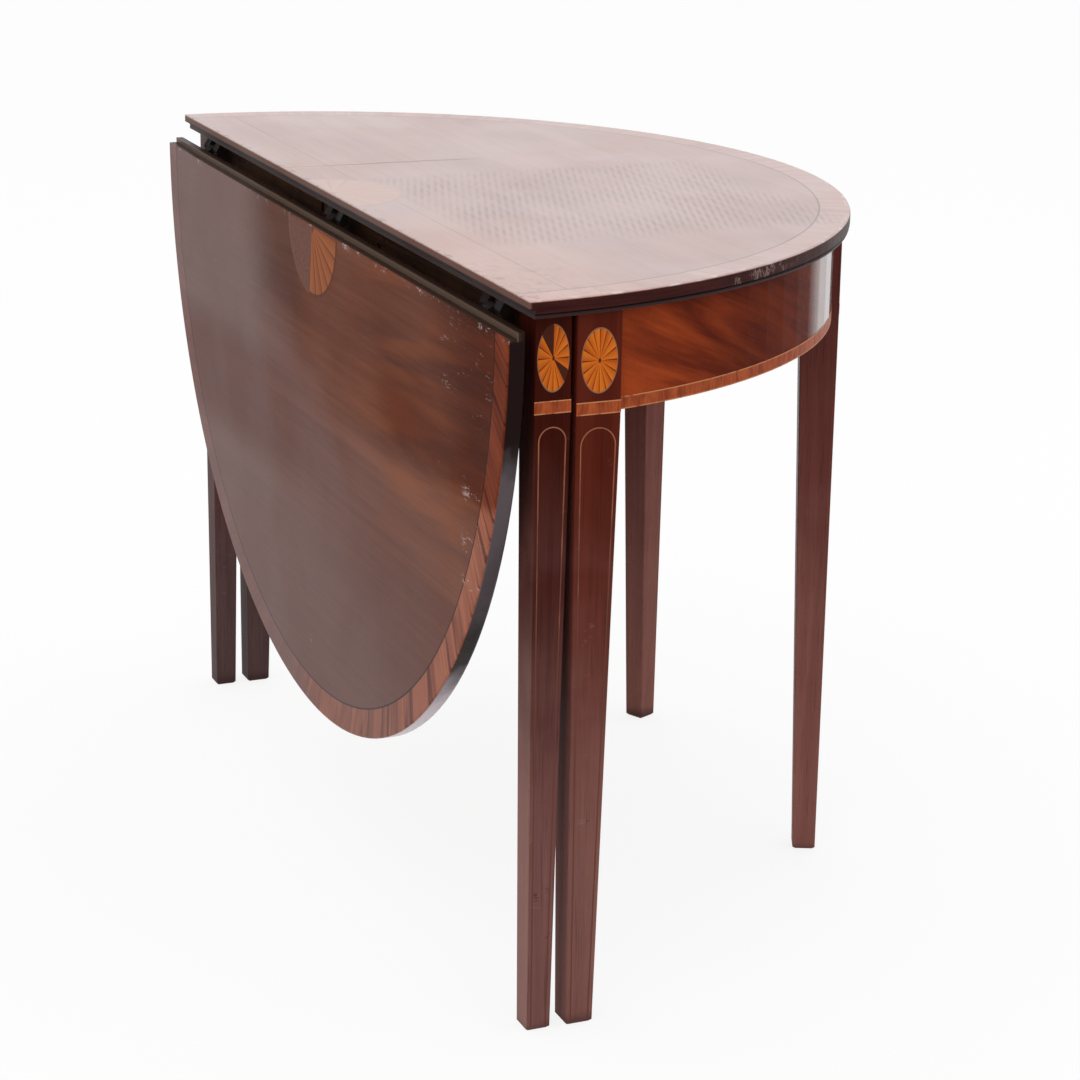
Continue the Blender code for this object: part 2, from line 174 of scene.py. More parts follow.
class Graph:
    """Writes a node tree: each call adds a node, feeds it and gives back the socket that matters."""

    def __init__(self, tree: bpy.types.NodeTree) -> None:
        """Keep the tree that the nodes go into."""
        self.tree = tree

    def feed(self, socket: Socket, value: Feed) -> None:
        """Link a socket to another one, or set its own value.

        Args:
            socket: The input to feed.
            value: An output socket, a number, or the parts of a vector or colour.
        """
        if isinstance(value, Socket):
            self.tree.links.new(value, socket)
        else:
            socket.default_value = value

    def add(self, kind: str, feeds: dict[Union[int, str], Feed], **settings: object) -> bpy.types.Node:
        """Add one node.

        Args:
            kind: Blender's name of the node type, without the ShaderNode start.
            feeds: What each input gets, by name or number.
            **settings: Properties of the node.

        Returns:
            The new node.
        """
        node = self.tree.nodes.new("ShaderNode" + kind)
        for key, value in settings.items():
            setattr(node, key, value)
        for key, value in feeds.items():
            self.feed(node.inputs[key], value)
        return node

    def math(self, operation: str, first: Feed, second: Feed = 0.0) -> Socket:
        """Work out one sum of two values."""
        return self.add("Math", {0: first, 1: second}, operation=operation).outputs[0]

    def times(self, *values: Feed) -> Feed:
        """Multiply several values."""
        return reduce(partial(self.math, "MULTIPLY"), values)

    def either(self, *masks: Feed) -> Feed:
        """Give the largest of several masks."""
        return reduce(partial(self.math, "MAXIMUM"), masks)

    def plus(self, start: Feed, *product: Feed) -> Socket:
        """Add the product of some values to a value."""
        return self.math("ADD", start, self.times(*product))

    def minus(self, start: Feed, *product: Feed) -> Socket:
        """Take the product of some values from a value."""
        return self.math("SUBTRACT", start, self.times(*product))

    def between(self, value: Feed, start: float, full: float) -> Socket:
        """Rise smoothly from 0 at the start to 1 where full, upwards or downwards.

        Args:
            value: What the mask follows.
            start: Where the mask is 0.
            full: Where the mask is 1.

        Returns:
            The mask.
        """
        if start > full:
            return self.minus(1.0, self.between(value, full, start))
        feeds = {0: value, 1: start, 2: full}
        return self.add("MapRange", feeds, interpolation_type="SMOOTHSTEP").outputs[0]

    def inside(self, value: Feed, low: float, high: float, soft: float) -> Socket:
        """Give 1 between two limits, with soft ends outside them."""
        return self.zone((value, low - soft, low), (value, high + soft, high))

    def zone(self, *spans: tuple[Feed, float, float]) -> Feed:
        """Multiply masks that each rise from one place to another."""
        return self.times(*[self.between(*span) for span in spans])

    def patch(self, *spans: tuple[Feed, float, float, float]) -> Feed:
        """Multiply masks that each lie between two soft limits."""
        return self.times(*[self.inside(*span) for span in spans])

    def mix(self, factor: Feed, first: Feed, second: Feed, blend: str = "MIX") -> Socket:
        """Blend two colours."""
        feeds = {0: factor, 6: first, 7: second}
        return self.add("Mix", feeds, data_type="RGBA", blend_type=blend).outputs[2]

    def layers(self, base: Feed, *coats: Coat) -> Feed:
        """Lay colours over a base in order, each by the product of its masks.

        Args:
            base: The colour of the ground.
            *coats: The colours with their masks.

        Returns:
            The colour of the whole.
        """
        for colour, *masks in coats:
            base = self.mix(self.times(*masks), base, colour)
        return base

    def noise(self, vector: Feed, scale: Feed, detail: float = 3.0, bend: float = 0.0) -> Socket:
        """Give soft random values.

        Args:
            vector: The place that the values hang on.
            scale: How fine they are, as one number or as x, y and z.
            detail: How many finer layers they have.
            bend: How far they are distorted.

        Returns:
            Values from 0 to 1, around 0.5.
        """
        if isinstance(scale, tuple):
            vector, scale = self.stretch(vector, scale), 1.0
        feeds = {"Vector": vector, "Scale": scale, "Detail": detail, "Distortion": bend}
        return self.add("TexNoise", feeds).outputs["Fac"]

    def drift(self, vector: Feed, scale: Feed, amount: float, detail: float = 4.0) -> Socket:
        """Give soft random values around zero."""
        return self.times(self.minus(self.noise(vector, scale, detail), 0.5), amount)

    def vector(self, x: Feed, y: Feed, z: Feed = 0.0) -> Socket:
        """Join three values into a vector."""
        return self.add("CombineXYZ", {0: x, 1: y, 2: z}).outputs[0]

    def stretch(self, vector: Feed, by: Feed) -> Socket:
        """Multiply a vector part by part."""
        return self.add("VectorMath", {0: vector, 1: by}, operation="MULTIPLY").outputs[0]

    def length(self, vector: Feed) -> Socket:
        """Measure a vector."""
        return self.add("VectorMath", {0: vector}, operation="LENGTH").outputs["Value"]

    def centred(self, vector: Feed, centre: Sequence[float]) -> Socket:
        """Move the zero point of a pattern to a place on the piece."""
        return self.add("Mapping", {"Vector": vector, "Location": [-part for part in centre]}).outputs[0]

    def parts(self, vector: Feed) -> tuple[Socket, ...]:
        """Split a vector into x, y and z."""
        return tuple(self.add("SeparateXYZ", {0: vector}).outputs)

    def polar(self, across: Feed, up: Feed, radius: float) -> tuple[Socket, Feed]:
        """Give the distance from a round centre, and the way round on a radius, in metres."""
        around = self.times(self.math("ARCTAN2", up, across), radius)
        return self.length(self.vector(across, up)), around

    def ramp(self, factor: Feed, *stops: tuple[float, Colour]) -> Socket:
        """Run through colours.

        Args:
            factor: Where on the ramp, 0 to 1.
            *stops: Place and colour of each stop, in rising order.

        Returns:
            The colour socket.
        """
        node = self.add("ValToRGB", {0: factor})
        elements = node.color_ramp.elements
        while len(elements) < len(stops):
            elements.new(1.0)
        for element, (position, colour) in zip(elements, stops):
            element.position = position
            element.color = colour
        return node.outputs[0]

    def group(self, tree: bpy.types.NodeTree, **feeds: Feed) -> bpy.types.NodeOutputs:
        """Place a shared group, with underscores in names standing for spaces."""
        named = {key.replace("_", " "): value for key, value in feeds.items()}
        return self.add("Group", named, node_tree=tree).outputs

    def seen(self) -> Feed:
        """Mask the rays that show a thing: straight to the camera, mirrored or through glass.

        Returns:
            The mask.
        """
        ray = self.add("LightPath", {}).outputs
        mirrored = self.either(ray["Is Glossy Ray"], ray["Is Transmission Ray"])
        return self.either(ray["Is Camera Ray"], mirrored)


class SharedGroups:
    """The effects that several finishes use, each built once as a node group."""

    def __init__(self) -> None:
        """Build every group."""
        self.grain = self.timber_grain()
        self.line = self.string_line()
        self.scuff = self.scuffs()
        self.cloud = self.clouding()

    @staticmethod
    def started(name: str, inputs: dict[str, str], outputs: dict[str, str]) -> tuple:
        """Start a group with its named sockets.

        Args:
            name: The group's name.
            inputs: Socket kind by input name.
            outputs: Socket kind by output name.

        Returns:
            The tree, a graph on it, its inputs and its output node.
        """
        tree = bpy.data.node_groups.new(name, "ShaderNodeTree")
        for way, sockets in (("INPUT", inputs), ("OUTPUT", outputs)):
            for label, kind in sockets.items():
                tree.interface.new_socket(label, in_out=way, socket_type="NodeSocket" + kind)
        entry = tree.nodes.new("NodeGroupInput")
        leave = tree.nodes.new("NodeGroupOutput")
        return tree, Graph(tree), entry.outputs, leave.inputs

    @staticmethod
    def sized(graph: Graph, given: bpy.types.NodeOutputs) -> Socket:
        """Scale a group's vector by its scale."""
        return graph.stretch(given["Vector"], graph.vector(given["Scale"], given["Scale"], given["Scale"]))

    def timber_grain(self) -> bpy.types.NodeTree:
        """Draw long streaks and open pores along the first axis of the vector.

        Returns:
            The group.
        """
        tree, graph, given, result = self.started(
            "timber_grain",
            {"Vector": "Vector", "Along": "Float", "Across": "Float", "Dark": "Color", "Light": "Color"},
            {"Colour": "Color", "Pores": "Float"},
        )
        pulled = graph.vector(given["Along"], given["Across"], given["Across"])
        drawn = graph.stretch(given["Vector"], pulled)
        broad = graph.noise(drawn, 1.0, 3.0, 0.6)
        fine = graph.noise(drawn, (1.6, 5.0, 5.0), 4.0)
        streaks = graph.plus(graph.times(broad, 0.62), fine, 0.38)
        pores = graph.between(graph.noise(drawn, (5.0, 26.0, 26.0), 2.0), 0.58, 0.72)
        tone = graph.mix(graph.between(streaks, 0.36, 0.64), given["Dark"], given["Light"])
        darker = graph.mix(graph.times(pores, 0.30), tone, given["Dark"], "MULTIPLY")
        graph.feed(result["Colour"], darker)
        graph.feed(result["Pores"], graph.minus(1.0, pores))
        return tree

    def string_line(self) -> bpy.types.NodeTree:
        """Mask a thin inlaid line where the distance is near zero.

        Returns:
            The group.
        """
        tree, graph, given, result = self.started(
            "string_line", {"Distance": "Float", "Half Width": "Float"}, {"Mask": "Float"}
        )
        away = graph.math("DIVIDE", graph.math("ABSOLUTE", given["Distance"]), given["Half Width"])
        graph.feed(result["Mask"], graph.between(away, 1.35, 0.75))
        return tree

    def scuffs(self) -> bpy.types.NodeTree:
        """Mask broken patches of fine scratches; a larger amount gives more of them.

        Returns:
            The group.
        """
        tree, graph, given, result = self.started(
            "scuffs", {"Vector": "Vector", "Scale": "Float", "Amount": "Float"}, {"Mask": "Float"}
        )
        sized = self.sized(graph, given)
        scratches = graph.noise(sized, (7.0, 2.5, 9.0), 5.0, 0.8)
        level = graph.plus(graph.times(graph.noise(sized, 1.0, 2.0), 0.5), scratches, 0.5)
        needed = graph.minus(0.72, given["Amount"], 0.22)
        graph.feed(result["Mask"], graph.between(graph.minus(level, needed), 0.0, 0.05))
        return tree

    def clouding(self) -> bpy.types.NodeTree:
        """Mask soft uneven patches, as old polish has.

        Returns:
            The group.
        """
        tree, graph, given, result = self.started(
            "clouding", {"Vector": "Vector", "Scale": "Float"}, {"Mask": "Float"}
        )
        soft = graph.noise(self.sized(graph, given), 1.0, 4.0, 0.4)
        graph.feed(result["Mask"], graph.between(soft, 0.35, 0.65))
        return tree


GROUPS = SharedGroups()


class Painter(Graph):
    """A graph for finishes, which also places the shared effects."""

    def grain(self, vector: Feed, along: float, across: float, wood: Tones) -> bpy.types.NodeOutputs:
        """Place timber grain, which gives a colour and pores."""
        return self.group(GROUPS.grain, Vector=vector, Along=along, Across=across,
                          Dark=wood.dark, Light=wood.light)

    def line(self, distance: Feed, half_width: float) -> Socket:
        """Mask a thin line where a distance is near zero."""
        return self.group(GROUPS.line, Distance=distance, Half_Width=half_width)["Mask"]

    def scuffs(self, vector: Feed, scale: float, amount: float) -> Socket:
        """Mask broken patches of fine scratches."""
        return self.group(GROUPS.scuff, Vector=vector, Scale=scale, Amount=amount)["Mask"]

    def clouds(self, vector: Feed, scale: float) -> Socket:
        """Mask soft uneven patches."""
        return self.group(GROUPS.cloud, Vector=vector, Scale=scale)["Mask"]


@dataclass(frozen=True)
class Spot:
    """A place on a round board: from the board's own zero, and out from and round its centre."""

    centred: Socket
    x: Socket
    y: Socket
    z: Socket
    reach: Socket
    around: Feed


@dataclass(frozen=True)
class Surface:
    """What a finish paints: its colour, roughness, relief and polish."""

    colour: Socket
    roughness: Socket
    height: Socket
    polish: Feed = 0.0


@dataclass(frozen=True, kw_only=True)
class Finish:
    """A finish: the numbers that hold all over it, and a way to paint the rest."""

    name: str
    metallic: float = 0.0
    specular: float = 0.05
    coat_roughness: float = 0.15
    coat_ior: float = 1.5
    relief: float = 0.00015

    def paint(self, graph: Painter, place: Socket) -> Surface:
        """Paint the surface.

        Args:
            graph: Where the nodes go.
            place: The place on the piece.

        Returns:
            What was painted.
        """
        raise NotImplementedError

    def make(self) -> bpy.types.Material:
        """Build the material once, and give the same one afterwards.

        Returns:
            The material.
        """
        known = bpy.data.materials.get(self.name)
        if known is not None:
            return known
        material = bpy.data.materials.new(self.name)
        material.use_nodes = True
        graph = Painter(material.node_tree)
        surface = self.paint(graph, graph.add("TexCoord", {}).outputs["Object"])
        bump = graph.add("Bump", {"Height": surface.height, "Distance": self.relief})
        feeds = {
            "Metallic": self.metallic,
            "Specular IOR Level": self.specular,
            "Coat Roughness": self.coat_roughness,
            "Coat IOR": self.coat_ior,
            "Base Color": surface.colour,
            "Roughness": surface.roughness,
            "Coat Weight": surface.polish,
            "Normal": bump.outputs[0],
        }
        shader = material.node_tree.nodes["Principled BSDF"]
        for label, value in feeds.items():
            graph.feed(shader.inputs[label], value)
        return material


@dataclass(frozen=True, kw_only=True)
class TopVeneer(Finish):
    """Faded mahogany of the fixed top, with its crossband, mat print, crack and worn corner."""

    sizes: TableSizes
    band_width: float = 0.0320
    joint_half: float = 0.0003
    line_half: float = 0.0009
    line_end: float = 0.0004
    straight_line: float = 0.050
    bead: float = 0.0038
    bead_soft: float = 0.0002
    quirk: float = 0.0010
    lip_depth: float = 0.0065
    lip_soft: float = 0.001
    lip_reach: Span = (0.0022, 0.0012)
    rim_from: Span = (-0.0006, -0.0019)
    under_from: Span = (0.0004, 0.0001)
    worn_edge: Span = (0.007, 0.001)
    struck_at: SoftSpan = (0.25, 0.33, 0.03)
    # Marks on the face, measured from the middle of the straight edge
    handled_x: Span = (0.05, 0.34)
    handled_y: Span = (0.17, 0.04)
    mat_x: SoftSpan = (-0.04, 0.29, 0.04)
    mat_y: SoftSpan = (0.09, 0.42, 0.04)
    mat_sine: float = 0.39
    mat_cosine: float = 0.92
    mat_lean: float = 0.05
    column_pitch: float = 0.0072
    dash_pitch: float = 0.040
    crack_x: float = -0.158
    crack_slant: float = 0.05
    crack_wobble: float = 0.010
    crack_half: float = 0.0024
    crack_end: Span = (0.236, 0.19)
    bleed_half: float = 0.006
    bleed_end: Span = (0.12, 0.02)
    corner_x: Span = (0.30, 0.44)
    corner_y: Span = (0.13, 0.03)
    arris_y: Span = (0.009, 0.002)
    field: Tones = tones((169, 137, 133), (178, 147, 143))
    band: Tones = tones((175, 140, 135), (191, 158, 153))
    edge: Tones = tones((41, 14, 13), (62, 25, 22))
    under: Tones = tones((84, 54, 38), (118, 82, 60))
    line_colour: Colour = shade(104, 84, 82)
    # The quirk in painted shade, the bead grey as painted reflection, the lip painted lit above its rebate
    # in painted shade
    quirk_shade: Colour = shade(18, 8, 8)
    bead_reflection: Colour = shade(50, 34, 35)
    lit_lip: Colour = shade(98, 62, 50)
    rebate_shade: Colour = shade(34, 22, 19)
    print_colour: Colour = shade(126, 98, 92)
    crack_colour: Colour = shade(92, 56, 48)
    peach: Colour = shade(216, 160, 138)
    chip_colour: Colour = shade(150, 106, 92)
    nick_colour: Colour = shade(84, 52, 44)
    rub_colour: Colour = shade(150, 126, 120)
    pale_rub: Colour = shade(232, 220, 216)

    @property
    def thickness(self) -> float:
        """The board's thickness."""
        return self.sizes.top_z - self.sizes.under_z

    def paint(self, graph: Painter, place: Socket) -> Surface:
        """Paint face, rim and underside from the distance to the round centre.

        Args:
            graph: Where the nodes go.
            place: The place on the piece.

        Returns:
            The painted surface.
        """
        size = self.sizes
        centred = graph.centred(place, (0.0, size.straight_y, size.top_z))
        out_x, out_y, _ = graph.parts(graph.centred(place, (0.0, size.centre_y, 0.0)))
        spot = Spot(centred, *graph.parts(centred), *graph.polar(out_x, out_y, size.radius))
        veneer = graph.grain(centred, 1.8, 26.0, self.field)
        band = graph.grain(graph.vector(spot.reach, spot.around, spot.z), 9.0, 70.0, self.band)
        band_edge = size.radius - self.band_width
        in_band = graph.between(spot.reach, band_edge - self.joint_half, band_edge + self.joint_half)
        ring = graph.line(graph.minus(spot.reach, band_edge), self.line_half)
        inner = graph.between(spot.reach, band_edge + self.line_end, band_edge - self.line_end)
        straight = graph.line(graph.minus(spot.y, self.straight_line), self.line_half * 0.8)
        outer = graph.between(spot.reach, *[size.radius - depth for depth in self.worn_edge])
        drawn = graph.vector(spot.around, graph.times(spot.reach, 3.0))
        below = graph.between(spot.z, *self.rim_from)
        underside = graph.between(spot.z, *[above - self.thickness for above in self.under_from])
        colour = graph.layers(
            veneer["Colour"],
            (band["Colour"], in_band),
            *self.printed(graph, spot),
            *self.cracked(graph, spot),
            *self.chipped(graph, spot),
            (self.line_colour, graph.either(graph.times(ring, 0.85), graph.times(straight, inner, 0.5))),
            (self.pale_rub, outer, graph.between(graph.noise(drawn, 46.0, 4.0), 0.52, 0.66), 0.55),
            (self.rim(graph, spot), below),
            (graph.grain(centred, 2.0, 30.0, self.under)["Colour"], underside),
        )
        cloud = graph.clouds(centred, 6.0)
        polish = graph.times(graph.minus(1.0, below), graph.minus(1.0, cloud, 0.12))
        return Surface(colour, graph.plus(0.32, cloud, 0.10), veneer["Pores"], polish)

    def printed(self, graph: Painter, spot: Spot) -> list[Coat]:
        """Warm the handled wood and print the woven mat.

        Args:
            graph: Where the nodes go.
            spot: The place on the board.

        Returns:
            The coats.
        """
        handled = graph.zone((spot.x, *self.handled_x), (spot.y, *self.handled_y))
        across = graph.plus(graph.times(spot.x, self.mat_sine), spot.y, self.mat_cosine)
        along = graph.minus(graph.times(spot.y, self.mat_sine), spot.x, self.mat_cosine)
        leaning = graph.plus(across, along, self.mat_lean)
        columns = graph.math("SINE", graph.times(leaning, math.tau / self.column_pitch))
        half_turns = graph.times(leaning, math.pi / self.column_pitch)
        dashes = graph.math("SINE", graph.plus(graph.times(along, math.tau / self.dash_pitch), half_turns))
        broken = graph.plus(0.40, graph.between(dashes, -1.0, 0.3), 0.60)
        strokes = graph.times(graph.between(columns, -0.7, 0.9), broken)
        mat = graph.patch((spot.x, *self.mat_x), (spot.y, *self.mat_y))
        worn = graph.plus(0.35, graph.between(graph.noise(spot.centred, 14.0, 3.0), 0.36, 0.60), 0.65)
        return [
            (self.peach, graph.clouds(spot.centred, 9.0), 0.10),
            (self.peach, handled, 0.30),
            (self.print_colour, strokes, mat, worn, 0.62),
        ]

    def cracked(self, graph: Painter, spot: Spot) -> list[Coat]:
        """Draw the crack from the straight edge, with warm wood beside it.

        Args:
            graph: Where the nodes go.
            spot: The place on the board.

        Returns:
            The coats.
        """
        slant = graph.minus(graph.drift(spot.centred, 38.0, self.crack_wobble), spot.y, self.crack_slant)
        path = graph.plus(graph.plus(spot.x, -self.crack_x), slant)
        ends = graph.times(graph.between(spot.y, *self.crack_end), 0.9)
        return [
            (self.crack_colour, graph.line(path, self.crack_half), ends),
            (self.peach, graph.line(path, self.bleed_half), graph.between(spot.y, *self.bleed_end), 0.4),
        ]

    def chipped(self, graph: Painter, spot: Spot) -> list[Coat]:
        """Wear the near corner, nick the straight edge and bruise the face.

        Args:
            graph: Where the nodes go.
            spot: The place on the board.

        Returns:
            The coats.
        """
        corner = graph.zone((spot.x, *self.corner_x), (spot.y, *self.corner_y))
        arris = graph.between(spot.y, *self.arris_y)
        return [
            (self.chip_colour, corner, graph.scuffs(spot.centred, 60.0, 0.85), 0.60),
            (self.nick_colour, arris, graph.scuffs(spot.centred, 55.0, 0.80), 0.8),
            (self.chip_colour, graph.scuffs(spot.centred, 11.0, 0.30), 0.25),
        ]

    def rim(self, graph: Painter, spot: Spot) -> Socket:
        """Paint the edge of the board: dark flat, the quirk black as painted shade, the bead grey as painted
        reflection, and the straight edge's lip painted lit above its rebate in painted shade.

        Args:
            graph: Where the nodes go.
            spot: The place on the board.

        Returns:
            The colour of the edge.
        """
        z = spot.z
        wood = graph.grain(graph.vector(spot.around, z, spot.reach), 10.0, 160.0, self.edge)
        bead_top = self.bead - self.thickness
        scuffed = graph.scuffs(graph.vector(spot.around, z), 75.0, 0.80)
        struck = graph.inside(spot.around, *self.struck_at)
        # The lip painted lit above its rebate in painted shade
        under_lip = graph.between(z, -self.lip_depth, -self.lip_depth - self.lip_soft)
        lip = graph.mix(under_lip, self.lit_lip, self.rebate_shade)
        return graph.layers(
            wood["Colour"],
            (self.rub_colour, scuffed, struck, 0.5),
            # The bead grey as painted reflection and the quirk black as painted shade
            (self.bead_reflection, graph.between(z, bead_top + self.bead_soft, bead_top - self.bead_soft)),
            (self.quirk_shade, graph.inside(z, bead_top, bead_top + self.quirk, self.bead_soft)),
            (lip, graph.between(spot.y, *self.lip_reach)),
        )


@dataclass(frozen=True, kw_only=True)
class LeafVeneer(Finish):
    """Mahogany of the hanging leaf with a red crossband, grey with painted reflection at the left and below,
    and painted shade at the near upper corner.
    """

    sizes: TableSizes
    band_width: float = 0.0315
    joint_half: float = 0.0003
    line_half: float = 0.0009
    rim_from: Span = (0.0006, 0.0020)
    inner_from: Span = (0.0008, 0.0002)
    hinge_z: Span = (-0.0105, -0.0075)
    # Tones of the shown face, measured from the leaf's round centre
    # A darker painted reflection lies left of the fan, cooler in tone
    dark_reflection_x: SoftSpan = (-0.19, -0.07, 0.06)
    dark_reflection_z: Span = (-0.17, -0.06)
    band_slant: float = 0.6
    barred_x: Span = (0.02, 0.20)
    glossy_rim_z: Span = (-0.10, -0.125)
    pale_foot_z: Span = (-0.32, -0.42)
    dull_x: Span = (0.0, -0.14)
    dull_z: SoftSpan = (-0.28, -0.21, 0.05)
    near_x: Span = (0.02, 0.26)
    near_z: Span = (-0.26, -0.16)
    figure_turn: float = math.radians(5.0)
    # Where a painted highlight lightens the ribbon figure
    glow_fall: float = 0.22
    glow_x: SoftSpan = (0.27, 0.40, 0.10)
    glow_z: SoftSpan = (-0.15, -0.09, 0.06)
    # The near upper corner and the curl below it are painted in shade
    corner_x: Span = (0.31, 0.47)
    corner_z: Span = (-0.185, -0.160)
    curl_x: Span = (0.15, 0.27)
    curl_z: Span = (-0.085, -0.145)
    curl_wave: float = 0.09
    # Slopes and spans of the grey painted reflection
    sheen_wave: float = 0.12
    low_slope: float = 0.36
    low_sheen: Span = (-0.10, -0.40)
    left_slope: float = 0.35
    left_sheen: Span = (-0.12, -0.28)
    middle_slope: float = 1.7
    middle_sheen: Span = (-0.20, -0.40)
    haze_x: Span = (0.0, 0.16)
    haze_z: Span = (-0.165, -0.225)
    knock_x: SoftSpan = (0.38, 0.49, 0.03)
    knock_z: SoftSpan = (-0.09, -0.03, 0.02)
    side_x: SoftSpan = (0.445, 0.475, 0.015)
    side_z: SoftSpan = (-0.26, -0.17, 0.02)
    nicked_z: Span = (-0.014, -0.008)
    wood: Tones = tones((97, 54, 39), (114, 67, 49))
    band: Tones = tones((122, 68, 51), (164, 98, 74))
    inner: Tones = tones((66, 36, 25), (96, 58, 40))
    ribbon: Colour = shade(134, 72, 38)
    shadow: Colour = shade(74, 35, 24)
    # Grey of the painted reflection of the pale surround
    painted_sheen: Colour = shade(97, 68, 65)
    # Tint multiplied in to paint shade at the near upper corner
    corner_shade_tint: Colour = shade(194, 156, 128)
    # Cool tint multiplied in for the darker painted reflection left of the fan
    dark_reflection_tint: Colour = shade(212, 228, 246)
    stripe: Colour = shade(84, 36, 24)
    line_colour: Colour = shade(40, 24, 20)
    # Painted reflection and painted shade along the curved edge
    rim_reflection_grey: Colour = shade(80, 71, 74)
    rim_shade: Colour = shade(32, 20, 20)
    rim_foot_reflection: Colour = shade(178, 160, 170)
    # Bands painted lit and in shade across the stepped hinge edge
    hinge_lit: Colour = shade(98, 80, 68)
    hinge_half_shade: Colour = shade(52, 38, 32)
    hinge_shade: Colour = shade(26, 18, 15)
    scuff_colour: Colour = shade(190, 176, 172)

    @property
    def thickness(self) -> float:
        """The leaf's thickness."""
        return self.sizes.leaf_inner_y - self.sizes.leaf_face_y

    def paint(self, graph: Painter, place: Socket) -> Surface:
        """Paint the shown face, the rim, the hinge edge and the inner face of the leaf.

        Args:
            graph: Where the nodes go.
            place: The place on the piece.

        Returns:
            The painted surface.
        """
        size = self.sizes
        centred = graph.centred(place, (0.0, size.leaf_face_y, size.leaf_centre_z))
        x, y, z = graph.parts(centred)
        spot = Spot(centred, x, y, z, *graph.polar(x, z, size.leaf_radius))
        # Grey painted reflection at the left and below; the near haze only adds polish
        left, low, middle, haze = self.sheen_masks(graph, spot)
        painted_sheen = graph.either(left, low, middle)
        # Cooler and darker left of the fan: a darker painted reflection
        dark_reflection = graph.times(graph.inside(x, *self.dark_reflection_x), graph.between(z, *self.dark_reflection_z))
        colour = graph.mix(dark_reflection, self.figured(graph, spot), self.dark_reflection_tint, "MULTIPLY")
        band_edge = size.leaf_radius - self.band_width
        in_band = graph.between(spot.reach, band_edge - self.joint_half, band_edge + self.joint_half)
        # The painted reflection reaches over the band too
        band_sheen = graph.either(graph.times(left, 0.80), graph.times(low, 0.30))
        banded = graph.layers(self.banded(graph, spot), (self.painted_sheen, band_sheen))
        colour = graph.layers(colour, (self.painted_sheen, painted_sheen, 0.72), (banded, in_band))
        # Painted shade at the near upper corner and the curl below it
        colour = graph.mix(self.corner_shade(graph, spot), colour, self.corner_shade_tint, "MULTIPLY")
        behind = graph.between(y, *self.rim_from)
        inner = graph.grain(centred, 2.2, 30.0, self.inner)
        colour = graph.layers(
            colour,
            (self.line_colour, graph.line(graph.minus(spot.reach, band_edge), self.line_half), 0.85),
            *self.scuffed(graph, spot),
            (self.rim(graph, spot), behind),
            (inner["Colour"], graph.between(y, *[self.thickness - depth for depth in self.inner_from])),
        )
        rough = graph.plus(0.30, graph.clouds(centred, 7.0), 0.10)
        dull = graph.times(graph.inside(z, *self.dull_z), graph.between(x, *self.dull_x), 0.55)
        hazy = graph.either(graph.times(painted_sheen, graph.minus(1.0, dull)), haze)
        glossy = graph.times(behind, graph.between(z, *self.glossy_rim_z))
        polish = graph.times(graph.either(hazy, glossy), 0.28)
        foot = graph.times(behind, graph.between(z, *self.pale_foot_z), 0.9)
        return Surface(colour, rough, inner["Pores"], graph.either(polish, foot))

    def figured(self, graph: Painter, spot: Spot) -> Socket:
        """Paint quiet grain along the leaf, with ribbon figure at the near side, lighter in a falling band
        as a painted highlight and with patches of painted shadow.

        Args:
            graph: Where the nodes go.
            spot: The place on the leaf.

        Returns:
            The colour of the veneer.
        """
        wood = graph.grain(spot.centred, 1.6, 26.0, self.wood)
        turn = (0.0, self.figure_turn, 0.0)
        turned = graph.add("Mapping", {"Vector": spot.centred, "Rotation": turn}).outputs[0]
        patches = graph.noise(turned, (2.6, 9.0, 30.0), 5.0, 0.3)
        near = graph.zone((spot.x, *self.near_x), (spot.z, *self.near_z))
        falling = graph.plus(spot.z, spot.x, self.glow_fall)
        glow = graph.patch((spot.x, *self.glow_x), (falling, *self.glow_z))
        # Ribbon figure, lighter in a falling band as a painted highlight, with painted shadow patches at the
        # near side
        warm = graph.either(graph.times(near, 0.30), graph.times(glow, 0.55))
        return graph.layers(
            wood["Colour"],
            (self.ribbon, graph.between(patches, 0.36, 0.62), warm),
            (self.shadow, near, graph.between(patches, 0.56, 0.38), 0.35),
        )

    def banded(self, graph: Painter, spot: Spot) -> Socket:
        """Paint the crossband, with slanting dark bars at the near side.

        Args:
            graph: Where the nodes go.
            spot: The place on the leaf.

        Returns:
            The colour of the band.
        """
        slanted = graph.plus(spot.around, spot.reach, self.band_slant)
        band = graph.grain(graph.vector(spot.reach, slanted, spot.y), 7.0, 36.0, self.band)
        streak = graph.noise(graph.vector(slanted, spot.reach), (60.0, 4.0, 1.0), 3.0)
        barred = (graph.between(streak, 0.53, 0.61), graph.between(spot.x, *self.barred_x), 0.80)
        return graph.layers(band["Colour"], (self.stripe, *barred))

    def corner_shade(self, graph: Painter, spot: Spot) -> Socket:
        """Mask the near upper corner and the curl below it, where painted shade makes the red darker.

        Args:
            graph: Where the nodes go.
            spot: The place on the leaf.

        Returns:
            The mask.
        """
        lifted = graph.plus(spot.z, graph.drift(spot.centred, (3.0, 9.0, 14.0), self.curl_wave))
        above = graph.between(lifted, *self.corner_z)
        corner = graph.times(graph.between(spot.x, *self.corner_x), above)
        at_curl = graph.between(spot.x, *self.curl_x)
        return graph.either(corner, graph.times(at_curl, above, graph.between(lifted, *self.curl_z), 0.80))

